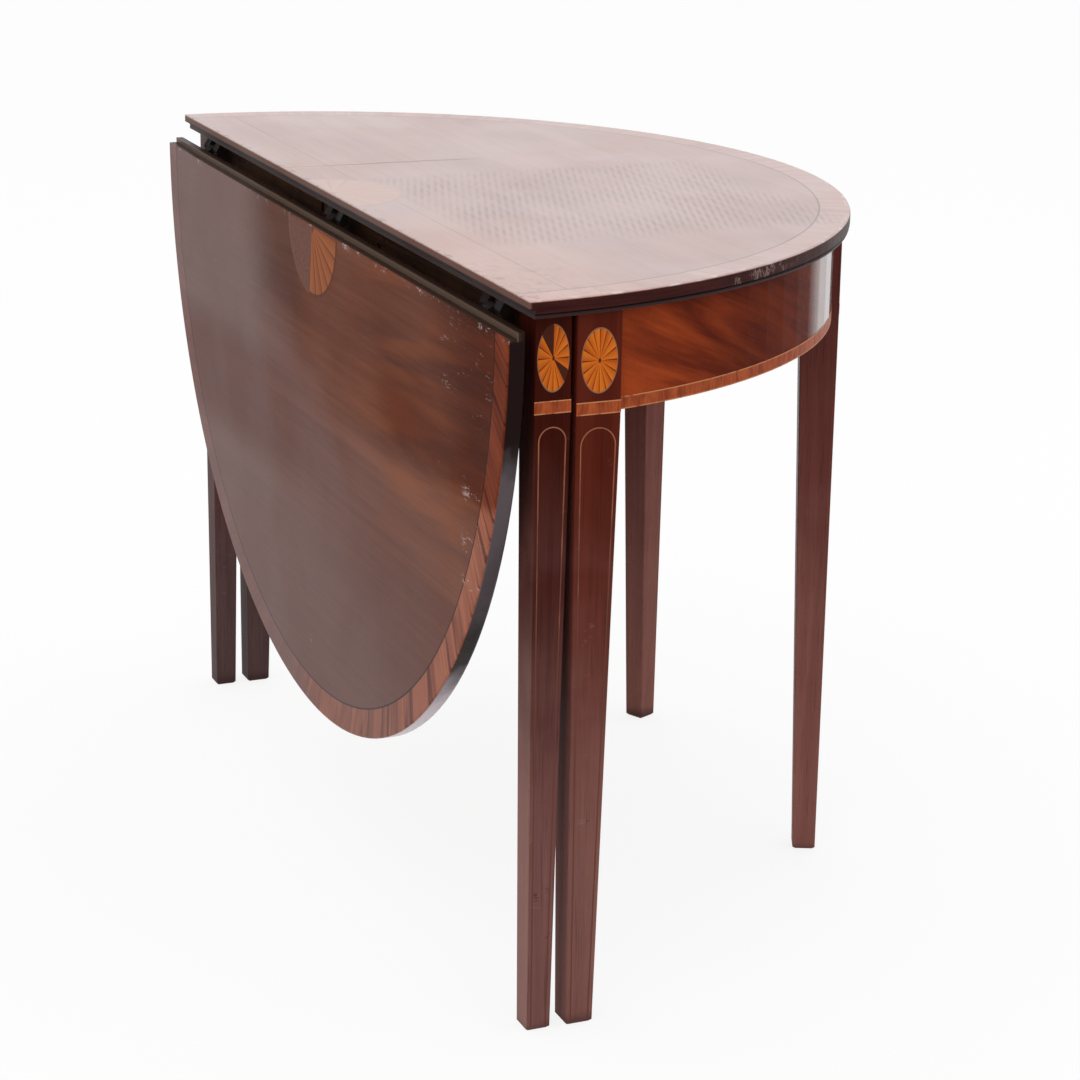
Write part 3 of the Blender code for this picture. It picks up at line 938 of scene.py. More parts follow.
    def rim(self, graph: Painter, spot: Spot) -> Socket:
        """Paint the curved edge from grey painted reflection through painted shade to pale painted
        reflection at the foot, and the hinge edge in bands painted lit and in shade.

        Args:
            graph: Where the nodes go.
            spot: The place on the leaf.

        Returns:
            The colour of the edge.
        """
        quarter = math.pi * self.sizes.leaf_radius / 2.0
        share = graph.math("DIVIDE", graph.math("ABSOLUTE", graph.plus(spot.around, quarter)), quarter)
        drawn = graph.vector(spot.around, graph.times(spot.y, 2.0))
        # Grey and pale painted reflection with painted shade between, round the curved edge
        tone = graph.ramp(graph.plus(share, graph.drift(drawn, 30.0, 0.08)), (0.0, self.rim_foot_reflection),
                          (0.44, self.rim_foot_reflection), (0.54, self.rim_shade), (0.60, self.rim_shade),
                          (0.67, self.rim_reflection_grey), (0.83, self.rim_reflection_grey), (0.87, self.rim_shade))
        # Hinge edge: strips painted lit and shadow lines painted dark across its steps
        step = graph.ramp(graph.math("DIVIDE", spot.y, self.thickness),
                          (0.05, self.hinge_lit), (0.14, self.hinge_half_shade), (0.44, self.hinge_half_shade),
                          (0.48, self.hinge_shade), (0.53, self.hinge_lit), (0.62, self.hinge_half_shade),
                          (1.0, self.hinge_shade))
        return graph.mix(graph.between(spot.z, *self.hinge_z), tone, step)

    def sheen_masks(self, graph: Painter, spot: Spot) -> tuple[Feed, ...]:
        """Mask the grey painted reflection in its parts.

        Args:
            graph: Where the nodes go.
            spot: The place on the leaf.

        Returns:
            The masks of the painted reflection at the far side, below and in the middle, and of the near
            haze.
        """
        x, z = spot.x, spot.z
        wave = graph.drift(spot.centred, 4.0, self.sheen_wave)
        low = graph.between(graph.plus(graph.plus(z, x, self.low_slope), wave), *self.low_sheen)
        left = graph.between(graph.plus(graph.plus(x, z, self.left_slope), wave, 0.8), *self.left_sheen)
        middle = graph.between(graph.plus(graph.plus(x, z, self.middle_slope), wave), *self.middle_sheen)
        haze = graph.zone((graph.plus(z, wave, 0.25), *self.haze_z), (x, *self.haze_x))
        return left, graph.times(low, 0.90), graph.times(middle, 0.60), graph.times(haze, 0.55)

    def scuffed(self, graph: Painter, spot: Spot) -> list[Coat]:
        """Rub the face, and scuff its near upper corner and its hinge edge.

        Args:
            graph: Where the nodes go.
            spot: The place on the leaf.

        Returns:
            The coats.
        """
        corner = graph.patch((spot.x, *self.knock_x), (spot.z, *self.knock_z))
        side = graph.patch((spot.x, *self.side_x), (spot.z, *self.side_z))
        marks = graph.scuffs(graph.stretch(spot.centred, (0.6, 1.0, 2.0)), 22.0, 0.60)
        knocked = graph.times(graph.either(graph.times(corner, 0.6), side), marks, 0.5)
        at_hinge = graph.between(spot.z, *self.nicked_z)
        nicks = graph.times(at_hinge, graph.scuffs(spot.centred, 50.0, 0.62), 0.7)
        return [
            (self.scuff_colour, graph.scuffs(spot.centred, 9.0, 0.25), 0.12),
            (self.scuff_colour, graph.either(knocked, nicks)),
        ]


@dataclass(frozen=True, kw_only=True)
class ApronVeneer(Finish):
    """Flame mahogany on the outside of the curved apron, with its core wood behind."""

    sizes: TableSizes
    veneer: float = 0.0015
    # How far down from its top the apron is painted darker, under the top's edge
    top_dark_height: float = 0.014
    flame_slope: float = 0.42
    pale_at: float = math.radians(7.2)
    pale_from: float = math.radians(23.8)
    # Where painted shade towards the right begins and is full
    shade_from: float = math.radians(12.0)
    shade_at: float = math.radians(34.0)
    polished_from: float = math.radians(44.0)
    polished_at: float = math.radians(50.0)
    flame_light: Colour = shade(156, 66, 31)
    flame_mid: Colour = shade(112, 43, 22)
    flame_dark: Colour = shade(66, 22, 15)
    core: Tones = tones((112, 78, 50), (150, 112, 76))

    def paint(self, graph: Painter, place: Socket) -> Surface:
        """Paint the flame on the round outside, darker along its top and with painted shade towards the
        right, and plain wood elsewhere.

        Args:
            graph: Where the nodes go.
            place: The place on the piece.

        Returns:
            The painted surface.
        """
        size = self.sizes
        radius = size.apron_radius
        centred = graph.centred(place, (0.0, size.centre_y, size.apron_low))
        _, _, z = graph.parts(centred)
        out_x, out_y, _ = graph.parts(graph.centred(place, (0.0, size.centre_y, 0.0)))
        reach, around = graph.polar(out_x, out_y, radius)
        spread = graph.vector(around, graph.plus(z, around, self.flame_slope), reach)
        flame = graph.noise(spread, (4.0, 20.0, 1.0), 3.0, 1.2)
        curl = graph.noise(spread, (12.0, 150.0, 1.0), 4.0, 0.8)
        level = graph.plus(graph.times(flame, 0.70), curl, 0.30)
        figure = graph.ramp(graph.between(level, 0.28, 0.68), (0.0, self.flame_dark), (0.4, self.flame_mid),
                            (1.0, self.flame_light))
        core = graph.grain(graph.vector(z, around, reach), 12.0, 60.0, self.core)
        outside = graph.between(reach, radius - self.veneer, radius - self.veneer * 0.6)
        height = size.apron_high - size.apron_low
        # Darker along the top of the apron, under the top's edge
        darker_at_top = graph.between(z, height - self.top_dark_height, height)
        # Painted shade towards the right, where the curve turns from the light
        shaded_right = graph.between(around, self.shade_from * radius, self.shade_at * radius)
        paler = graph.between(around, self.pale_from * radius, self.pale_at * radius)
        colour = graph.layers(
            core["Colour"],
            (figure, outside),
            (self.flame_dark, darker_at_top, outside, 0.5),
            (self.flame_dark, shaded_right, outside, 0.70),
            (self.flame_light, paler, outside, 0.45),
        )
        rough = graph.minus(graph.plus(0.62, graph.clouds(centred, 14.0), 0.08), outside, 0.38)
        middle = math.pi / 2.0
        off_middle = graph.math("ABSOLUTE", graph.minus(around, middle * radius))
        shiny = graph.between(off_middle, (middle - self.polished_from) * radius,
                              (middle - self.polished_at) * radius)
        return Surface(colour, rough, core["Pores"], graph.times(outside, shiny))


@dataclass(frozen=True, kw_only=True)
class LegTimber(Finish):
    """Dark red mahogany of the legs, paler lower down as dust and fading and as painted reflection of the
    floor, darker at the foot, with one side face painted lighter as painted light.
    """

    upper: Tones = tones((75, 26, 16), (86, 32, 20))
    lower: Tones = tones((117, 78, 72), (128, 87, 80))
    # Pale colour of the scuffs, and of the side face painted lighter as painted light
    mark: Colour = shade(148, 112, 104)
    foot: Colour = shade(60, 42, 40)
    fade_z: Span = (0.60, 0.06)
    fade_wave: float = 0.08
    foot_z: Span = (0.018, 0.004)
    foot_wave: float = 0.010
    # Far outside the table, so that only a leg with a place of its own has a side face painted lighter as
    # painted light
    lit_side_y: float = -9.0
    lit_side_depth: Span = (0.0010, 0.0004)

    def paint(self, graph: Painter, place: Socket) -> Surface:
        """Paint upright grain that pales towards the floor, partly as painted reflection of the floor, and a
        side face painted lighter as painted light.

        Args:
            graph: Where the nodes go.
            place: The place on the piece.

        Returns:
            The painted surface.
        """
        x, y, z = graph.parts(place)
        upright = graph.vector(z, x, y)
        upper = graph.grain(upright, 3.0, 46.0, self.upper)
        lower = graph.grain(upright, 3.0, 46.0, self.lower)
        cloud = graph.clouds(place, 10.0)
        # Paler towards the floor: dust and fading, and painted reflection of the floor
        faded = graph.between(graph.plus(z, graph.minus(cloud, 0.5), self.fade_wave), *self.fade_z)
        # The side face at this depth painted lighter: painted light
        rubbed = graph.between(y, *[self.lit_side_y + depth for depth in self.lit_side_depth])
        colour = graph.layers(
            upper["Colour"],
            (lower["Colour"], faded),
            (self.mark, rubbed, faded, 0.55),
            (self.mark, graph.scuffs(place, 24.0, 0.40), 0.18),
            (self.upper.dark, graph.scuffs(place, 52.0, 0.32), 0.5),
            (self.foot, graph.between(graph.plus(z, cloud, self.foot_wave), *self.foot_z), 0.7),
        )
        return Surface(colour, graph.plus(0.32, faded, 0.16), upper["Pores"])


@dataclass(frozen=True, kw_only=True)
class RailTimber(Finish):
    """Plain aged secondary wood of the back rail, the knuckle block and the gate rails."""

    # Dark tones, partly painted shade in the gap under the leaf
    timber: Tones = tones((54, 33, 23), (80, 52, 35))
    grime: Colour = shade(32, 21, 16)

    def paint(self, graph: Painter, place: Socket) -> Surface:
        """Paint grain along the rails with grime in patches.

        Args:
            graph: Where the nodes go.
            place: The place on the piece.

        Returns:
            The painted surface.
        """
        wood = graph.grain(place, 3.0, 55.0, self.timber)
        cloud = graph.clouds(place, 16.0)
        colour = graph.layers(wood["Colour"], (self.grime, cloud, 0.35))
        return Surface(colour, graph.plus(0.58, cloud, 0.12), wood["Pores"])


@dataclass(frozen=True, kw_only=True)
class AgedIron(Finish):
    """Dark iron of hinges and pins, with patches of rust, near black partly as painted shade in the gap
    under the leaf.
    """

    # Near black, partly painted shade in the gap under the leaf
    iron: Tones = tones((18, 15, 14), (34, 30, 28))
    rust: Colour = shade(38, 25, 21)

    def paint(self, graph: Painter, place: Socket) -> Surface:
        """Paint worn metal with rust in patches.

        Args:
            graph: Where the nodes go.
            place: The place on the piece.

        Returns:
            The painted surface.
        """
        fine = graph.noise(place, 900.0, 4.0)
        cloud = graph.clouds(place, 70.0)
        bright = graph.between(fine, 0.35, 0.7)
        colour = graph.layers(self.iron.dark, (self.iron.light, bright), (self.rust, cloud, 0.5))
        return Surface(colour, graph.plus(0.46, cloud, 0.24), fine)


@dataclass(frozen=True, kw_only=True)
class FanVeneer(Finish):
    """Sand-shaded petals of an inlaid fan; its map runs petal by petal and from centre to rim."""

    petal: Tones
    joint: Colour
    border: Colour
    ground: Colour
    polish: float = 0.0
    border_from: Span = (0.94, 0.96)
    joint_edge: Span = (0.40, 0.47)
    joint_reach: Span = (0.05, 0.35)
    hub_reach: Span = (0.10, 0.04)

    def paint(self, graph: Painter, place: Socket) -> Surface:
        """Paint each petal from light to shaded, the joints, the border and lost petals.

        Args:
            graph: Where the nodes go.
            place: The place on the piece.

        Returns:
            The painted surface.
        """
        petal, out, _ = graph.parts(graph.add("UVMap", {}, uv_map="petals").outputs[0])
        lost = graph.add("Attribute", {}, attribute_name="lost", attribute_type="GEOMETRY").outputs["Fac"]
        part = graph.math("FRACT", petal)
        number = graph.math("FLOOR", petal)
        tone = graph.add("TexWhiteNoise", {"W": number}, noise_dimensions="1D").outputs["Value"]
        grain = graph.noise(place, (900.0, 900.0, 240.0), 3.0)
        level = graph.plus(graph.plus(graph.times(part, 0.45), tone, 0.25), grain, 0.24)
        edge = graph.math("ABSOLUTE", graph.minus(part, 0.5))
        joint = graph.zone((edge, *self.joint_edge), (out, *self.joint_reach))
        scratched = graph.mix(graph.between(grain, 0.45, 0.7), self.ground, self.joint)
        colour = graph.layers(
            self.petal.light,
            (self.petal.dark, graph.between(level, 0.15, 0.95)),
            (self.joint, joint, 0.85),
            (self.joint, graph.between(out, *self.hub_reach)),
            (self.border, graph.between(out, *self.border_from), 0.9),
            (scratched, lost),
        )
        return Surface(colour, graph.plus(0.32, grain, 0.16), graph.minus(grain, joint, 0.6), self.polish)


@dataclass(frozen=True, kw_only=True)
class CrossBanding(Finish):
    """Orange-red band cut across the grain, with a pale string along both edges."""

    band: Tones = tones((126, 54, 29), (166, 80, 42))
    string: Colour = shade(182, 122, 84)
    string_from: Span = (0.39, 0.43)
    grain_width: float = 0.012

    def paint(self, graph: Painter, place: Socket) -> Surface:
        """Paint from the band's own map: metres along it, and 0 to 1 across it.

        Args:
            graph: Where the nodes go.
            place: The place on the piece.

        Returns:
            The painted surface.
        """
        along, across, _ = graph.parts(graph.add("UVMap", {}, uv_map="band").outputs[0])
        wood = graph.grain(graph.vector(graph.times(across, self.grain_width), along), 30.0, 90.0, self.band)
        edge = graph.between(graph.math("ABSOLUTE", graph.minus(across, 0.5)), *self.string_from)
        worn = graph.between(graph.noise(place, 120.0, 3.0), 0.30, 0.50)
        colour = graph.layers(wood["Colour"], (self.string, edge, worn))
        return Surface(colour, graph.plus(0.30, worn, 0.08), wood["Pores"])


@dataclass(frozen=True, kw_only=True)
class Stringing(Finish):
    """Pale boxwood string, darkened and rubbed away lower down the legs."""

    light: Colour = shade(146, 92, 66)
    worn: Colour = shade(98, 58, 50)
    fade_z: Span = (0.66, 0.40)
    fade_wave: float = 0.4

    def paint(self, graph: Painter, place: Socket) -> Surface:
        """Paint the string from the height on the leg.

        Args:
            graph: Where the nodes go.
            place: The place on the piece.

        Returns:
            The painted surface.
        """
        _, _, z = graph.parts(place)
        patch = graph.noise(place, 40.0, 4.0)
        faded = graph.between(graph.plus(z, graph.minus(patch, 0.5), self.fade_wave), *self.fade_z)
        colour = graph.layers(self.light, (self.worn, faded, 0.95))
        return Surface(colour, graph.plus(0.36, patch, 0.12), patch)


@dataclass(frozen=True)
class FacePlane:
    """A flat working plane on a face: its zero point and its across, up and out directions."""

    zero: Vector
    across: Vector
    up: Vector
    out: Vector

    def lay(self, bm: Mesh) -> Mesh:
        """Move a mesh from the working plane to its place on the table.

        Args:
            bm: The mesh.

        Returns:
            The same mesh.
        """
        columns = Matrix((self.across, self.up, self.out)).transposed().to_4x4()
        bmesh.ops.transform(bm, matrix=Matrix.Translation(self.zero) @ columns, verts=bm.verts)
        return bm


def linked(name: str, data: bpy.types.ID) -> bpy.types.Object:
    """Make an object and put it in the scene.

    Args:
        name: The object's name.
        data: Its mesh, light or camera.

    Returns:
        The new object.
    """
    made = bpy.data.objects.new(name, data)
    bpy.context.scene.collection.objects.link(made)
    return made


def spin(bm: Mesh, geom: list, angle: float, steps: int, merge: bool = False) -> list:
    """Spin geometry round the upright axis through zero, and give the end of the turn."""
    turned = bmesh.ops.spin(bm, geom=geom, cent=(0.0, 0.0, 0.0), axis=UP, angle=angle, steps=steps,
                            use_merge=merge)
    return turned["geom_last"]


def close_ends(bm: Mesh) -> None:
    """Fill the open ends of a mesh."""
    bmesh.ops.holes_fill(bm, edges=[edge for edge in bm.edges if edge.is_boundary], sides=0)


def map_band(bm: Mesh, place: Callable[[Vector], tuple[float, float]]) -> None:
    """Write a band's own map.

    Args:
        bm: The band's mesh.
        place: Gives metres along the band and 0 to 1 across it for a point.
    """
    chart = bm.loops.layers.uv.new("band")
    for face in bm.faces:
        for loop in face.loops:
            loop[chart].uv = place(loop.vert.co)


def thicken(bm: Mesh, proud: float, let_in: float) -> None:
    """Turn a flat strip in the working plane into a thin slip that stands a little proud.

    Args:
        bm: The strip, at height zero.
        proud: How far its face stands out.
        let_in: How far its back lies in the wood.
    """
    bmesh.ops.recalc_face_normals(bm, faces=bm.faces)
    for face in bm.faces:
        if face.normal.z < 0.0:
            face.normal_flip()
    bmesh.ops.translate(bm, vec=(0.0, 0.0, proud), verts=bm.verts)
    bmesh.ops.solidify(bm, geom=bm.faces[:], thickness=proud + let_in)
    bmesh.ops.recalc_face_normals(bm, faces=bm.faces)


class Maker:
    """Turns finished meshes into pieces that move with a body, and dresses CAD nodes."""

    @staticmethod
    def piece(name: str, bm: Mesh, finish: Finish, body: Body, slot: Slot) -> None:
        """Make one piece from a mesh that is already in its place.

        Args:
            name: The piece's name.
            bm: Its mesh, which is freed.
            finish: What it is dressed with.
            body: The body that it moves with.
            slot: The finish that it belongs to; not used.
        """
        mesh = bpy.data.meshes.new(name)
        bm.to_mesh(mesh)
        bm.free()
        mesh.shade_smooth()
        mesh.set_sharp_from_angle(angle=SHARP_ANGLE)
        mesh.materials.append(finish.make())
        piece = linked(name, mesh)
        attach(piece, body.value)
        LOG.info("made %s, %d faces, on %s", name, len(mesh.polygons), body.value)

    @staticmethod
    def dress(nodes: Iterable[str], finish: Finish) -> None:
        """Give CAD nodes a finish in all their material slots.

        Args:
            nodes: The names of the CAD nodes.
            finish: What they are dressed with.
        """
        for name in nodes:
            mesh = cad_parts[name].data
            if not mesh.materials:
                mesh.materials.append(None)
            for number in range(len(mesh.materials)):
                mesh.materials[number] = finish.make()
            LOG.info("dressed %s with %s", name, finish.name)


@dataclass(frozen=True)
class Fan:
    """An inlaid fan of shaded petals, whole or half, let into a flat face."""

    half_width: float
    half_height: float
    petals: int
    sweep: float = math.tau
    proud: float = 0.00016
    let_in: float = 0.0003
    groove: float = 0.00012
    groove_reach: tuple[float, float] = (0.1, 0.95)
    hub: float = 0.001
    rings: tuple[float, ...] = (0.0, 0.12, 0.35, 0.6, 0.8, 0.93, 0.985)
    steps: int = 6
    lost: tuple[int, ...] = ()

    def mesh(self, plane: FacePlane) -> Mesh:
        """Spin the fan from its profile, press the petal joints in and place it.

        Args:
            plane: The working plane, with its zero at the fan's centre.

        Returns:
            The finished mesh.
        """
        bm = bmesh.new()
        face = [(ring, self.proud) for ring in self.rings]
        profile = [(0.0, -self.let_in), *face, (1.0, 0.0), (1.0, -self.let_in)]
        points = [bm.verts.new((radius, 0.0, height)) for radius, height in profile]
        edges = [bm.edges.new(pair) for pair in zip(points, points[1:])]
        whole = self.sweep == math.tau
        spin(bm, points + edges, self.sweep, self.petals * self.steps, whole)
        bmesh.ops.remove_doubles(bm, verts=bm.verts, dist=MERGE_DISTANCE)
        bmesh.ops.dissolve_degenerate(bm, edges=bm.edges, dist=MERGE_DISTANCE)
        if not whole:
            close_ends(bm)
        bmesh.ops.recalc_face_normals(bm, faces=bm.faces)
        self.map_petals(bm)
        self.press_joints(bm)
        bmesh.ops.scale(bm, vec=(self.half_width, self.half_height, 1.0), verts=bm.verts)
        return plane.lay(bm)

    def petal_at(self, point: Vector) -> float:
        """Say which petal a point of the unit fan is on, with its place in the petal as the fraction."""
        angle = math.atan2(point.y, point.x) % math.tau
        return angle / self.sweep * self.petals

    def map_petals(self, bm: Mesh) -> None:
        """Write the petal map and mark the lost petals.

        Args:
            bm: The unit fan.
        """
        chart = bm.loops.layers.uv.new("petals")
        lost = bm.loops.layers.float.new("lost")
        for face in bm.faces:
            middle = self.petal_at(face.calc_center_median())
            gone = 1.0 if int(middle) in self.lost else 0.0
            for loop in face.loops:
                reach = loop.vert.co.xy.length
                here = self.petal_at(loop.vert.co) if reach > self.hub else middle
                here += self.petals * round((middle - here) / self.petals)
                loop[chart].uv = (here, reach)
                loop[lost] = gone

    def press_joints(self, bm: Mesh) -> None:
        """Lower the face a little along the joint between two petals.

        Args:
            bm: The unit fan.
        """
        inner, outer = self.groove_reach
        for vertex in bm.verts:
            if vertex.co.z > 0.0 and inner < vertex.co.xy.length < outer:
                part = self.petal_at(vertex.co) % 1.0
                vertex.co.z -= self.groove * (1.0 - math.sin(math.pi * part)) ** 3


@dataclass(frozen=True)
class LegFace:
    """The outer face of a leg, measured on its CAD node."""

    node: str
    body: Body
    out: Vector
    depth: float
    left: float
    right: float
    foot_left: float
    foot_right: float

    @classmethod
    def measured(cls, node: str, body: Body, out: Vector, flat: float = 0.0012,
                 end: float = 0.004) -> LegFace:
        """Measure the face that looks along a direction.

        Args:
            node: The leg's CAD node.
            body: The body that the leg moves with.
            out: The direction that the face looks along.
            flat: How deep behind the outermost point the face still counts.
            end: How high the measured stretch at its top and at its foot is.

        Returns:
            The measured face.
        """
        across = UP.cross(out)
        points = node_points(node)
        depth = max(point.dot(out) for point in points)
        shown = [point for point in points if depth - point.dot(out) < flat]
        high = max(point.z for point in shown)
        low = min(point.z for point in shown)
        top = [point.dot(across) for point in shown if point.z > high - end]
        foot = [point.dot(across) for point in shown if point.z < low + end]
        return cls(node, body, out, depth, min(top), max(top), min(foot), max(foot))

    def plane(self, height: float) -> FacePlane:
        """Give a working plane on the face, with its zero at a height on the block's middle."""
        side = UP.cross(self.out)
        return FacePlane(self.out * self.depth + side * self.middle + UP * height, side, UP, self.out)

    @property
    def middle(self) -> float:
        """The middle of the block, across the face."""
        return (self.left + self.right) / 2.0

    @property
    def width(self) -> float:
        """The width of the block's flat face."""
        return self.right - self.left


@dataclass
class LegInlay:
    """Fan, crossband and arched string on the outer face of one leg."""

    face: LegFace
    sizes: TableSizes
    fan_finish: Finish
    band_finish: Finish
    string_finish: Finish
    fan_width: float
    fan_height: float
    lost_petals: tuple[int, ...] = ()
    fan_lift: float = 0.0012
    band_lift: float = 0.0
    petals: int = 16
    band_height: float = 0.0122
    band_cells: tuple[int, int] = (8, 3)
    band_proud: float = 0.00018
    let_in: float = 0.0003
    string_width: float = 0.0012
    string_inset: float = 0.0042
    arch_drop: float = 0.012
    foot_gap: float = 0.004
    arch_steps: int = 16

    def build(self) -> None:
        """Make the three pieces of inlay."""
        made = (
            ("_fan", self.fan_mesh(), self.fan_finish),
            ("_band", self.band_mesh(), self.band_finish),
            ("_string", self.string_mesh(), self.string_finish),
        )
        for part, mesh, finish in made:
            Maker.piece(self.face.node + part, mesh, finish, self.face.body, Slot.LEG)

    def fan_mesh(self) -> Mesh:
        """Place the fan between the crossband and the top of the block.

        Returns:
            The fan in its place.
        """
        middle = (self.sizes.apron_low + self.band_height + self.sizes.apron_high) / 2.0 + self.fan_lift
        fan = Fan(self.fan_width / 2.0, self.fan_height / 2.0, self.petals, lost=self.lost_petals)
        return fan.mesh(self.face.plane(middle))

    def band_mesh(self) -> Mesh:
        """Cut the crossband at the foot of the block from a grid, and give it its thickness.

        Returns:
            The band in its place.
        """
        bm = bmesh.new()
        along, across = self.band_cells
        bmesh.ops.create_grid(bm, x_segments=along, y_segments=across, size=0.5)
        bmesh.ops.scale(bm, vec=(self.face.width, self.band_height, 1.0), verts=bm.verts)
        map_band(bm, lambda point: (point.x, point.y / self.band_height + 0.5))
        thicken(bm, self.band_proud, self.let_in)
        return self.face.plane(self.sizes.apron_low + self.band_lift + self.band_height / 2.0).lay(bm)

    def string_mesh(self) -> Mesh:
        """Spin the arch of the string, draw both ends down to the foot and give it its thickness.

        Returns:
            The string in its place.
        """
        face = self.face
        half = face.width / 2.0 - self.string_inset
        spring = self.sizes.apron_low + self.band_lift - self.arch_drop - half
        bm = bmesh.new()
        ends = [bm.verts.new((reach, 0.0, 0.0)) for reach in (half - self.string_width, half)]
        start = bm.edges.new(ends)
        turned = spin(bm, [*ends, start], math.pi, self.arch_steps)
        last = next(item for item in turned if isinstance(item, bmesh.types.BMEdge))
        foot_low = self.foot_gap - spring
        self.draw_down(bm, last, face.foot_left - face.middle + self.string_inset, foot_low, 1.0)
        self.draw_down(bm, start, face.foot_right - face.middle - self.string_inset, foot_low, -1.0)
        thicken(bm, self.band_proud, self.let_in)
        return face.plane(spring).lay(bm)

    def draw_down(self, bm: Mesh, edge: bmesh.types.BMEdge, outer: float, low: float, inward: float) -> None:
        """Draw one end of the arch down to the foot.

        Args:
            bm: The mesh.
            edge: The open end of the strip.
            outer: Where the strip's outer side ends, across the face.
            low: How high it ends.
            inward: 1 where the strip's inner side lies to the right, or -1.
        """
        drawn = bmesh.ops.extrude_edge_only(bm, edges=[edge])["geom"]
        corners = [item for item in drawn if isinstance(item, bmesh.types.BMVert)]
        corners.sort(key=lambda corner: abs(corner.co.x), reverse=True)
        for corner, place in zip(corners, (outer, outer + inward * self.string_width)):
            corner.co = (place, low, 0.0)


@dataclass
class ApronBand:
    """Crossband along the lower edge of one apron segment."""

    node: str
    sizes: TableSizes
    finish: Finish
    height: float = 0.0122
    low_gap: float = 0.0001
    proud: float = 0.0002
    let_in: float = 0.0004
    outer_depth: float = 0.001
    step: float = 0.012

    def build(self) -> None:
        """Spin the band over the angle that its apron segment covers."""
        size = self.sizes
        centre = Vector((0.0, size.centre_y, 0.0))
        places = [point - centre for point in node_points(self.node)]
        outer = [place for place in places if place.xy.length > size.apron_radius - self.outer_depth]
        angles = [math.atan2(place.y, place.x) for place in outer]
        begin, end = min(angles), max(angles)
        steps = max(2, round((end - begin) * size.apron_radius / self.step))
        face = size.apron_radius + self.proud
        back = size.apron_radius - self.let_in
        low, high = size.apron_low + self.low_gap, size.apron_low + self.height
        outline = [(back, low), (face, low), (face, (low + high) / 2.0), (face, high), (back, high)]
        bm = bmesh.new()
        points = [bm.verts.new((reach, 0.0, height)) for reach, height in outline]
        rim = [bm.edges.new(pair) for pair in zip(points, points[1:] + points[:1])]
        bmesh.ops.rotate(bm, verts=bm.verts, cent=(0.0, 0.0, 0.0), matrix=Matrix.Rotation(begin, 3, "Z"))
        spin(bm, points + rim, end - begin, steps)
        close_ends(bm)
        bmesh.ops.recalc_face_normals(bm, faces=bm.faces)
        map_band(bm, lambda point: (math.atan2(point.y, point.x) * face, (point.z - low) / (high - low)))
        bmesh.ops.translate(bm, vec=centre, verts=bm.verts)
        Maker.piece(self.node + "_band", bm, self.finish, Body.FRAME, Slot.APRON)


@dataclass
class Legs:
    """The six legs: their timber and the inlay on their outer faces."""

    sizes: TableSizes
    end_timber: Finish
    gate_timber: Finish
    curve_timber: Finish
    far_timber: Finish
    fan: Finish
    band: Finish
    string: Finish
    end_fan: tuple[float, float] = (0.0362, 0.0612)
    gate_fan: tuple[float, float] = (0.0315, 0.0630)
    curve_fan: tuple[float, float] = (0.033, 0.064)
    near_gate_lost: tuple[int, ...] = (4, 5, 14)
    end_fan_lift: float = -0.0040
    gate_band_lift: float = 0.0040

    def build(self) -> None:
        """Measure each leg's outer face, inlay it and dress the timber."""
        sides = (
            ("near", EAST, Body.GATE_NEAR, self.near_gate_lost),
            ("far", -EAST, Body.GATE_FAR, ()),
        )
        for side, out, gate, lost in sides:
            self.inlay("end_leg_" + side, Body.FRAME, out, self.end_fan, fan_lift=self.end_fan_lift)
            self.inlay("gate_leg_" + side, gate, out, self.gate_fan, lost_petals=lost,
                       band_lift=self.gate_band_lift)
            self.inlay("curve_leg_" + side, Body.FRAME, self.outward("curve_leg_" + side), self.curve_fan)
        Maker.dress(["end_leg_near"], self.end_timber)
        Maker.dress(["gate_leg_near"], self.gate_timber)
        Maker.dress(["curve_leg_near", "curve_leg_far"], self.curve_timber)
        Maker.dress(["end_leg_far", "gate_leg_far"], self.far_timber)

    def inlay(self, node: str, body: Body, out: Vector, fan: tuple[float, float],
              **own: tuple[int, ...] | float) -> None:
        """Inlay one leg.

        Args:
            node: The leg's CAD node.
            body: The body that the leg moves with.
            out: The direction that the inlaid face looks along.
            fan: The fan's width and height.
            **own: Fields of the inlay that are this leg's own.
        """
        face = LegFace.measured(node, body, out)
        LegInlay(face, self.sizes, self.fan, self.band, self.string, *fan, **own).build()

    def outward(self, node: str) -> Vector:
        """Find the direction from the table's round centre to a leg on the curve.

        Args:
            node: The leg's CAD node.

        Returns:
            The level direction.
        """
        points = node_points(node)
        middle = sum(points, Vector()) / len(points) - Vector((0.0, self.sizes.centre_y, 0.0))
        return Vector((middle.x, middle.y, 0.0)).normalized()


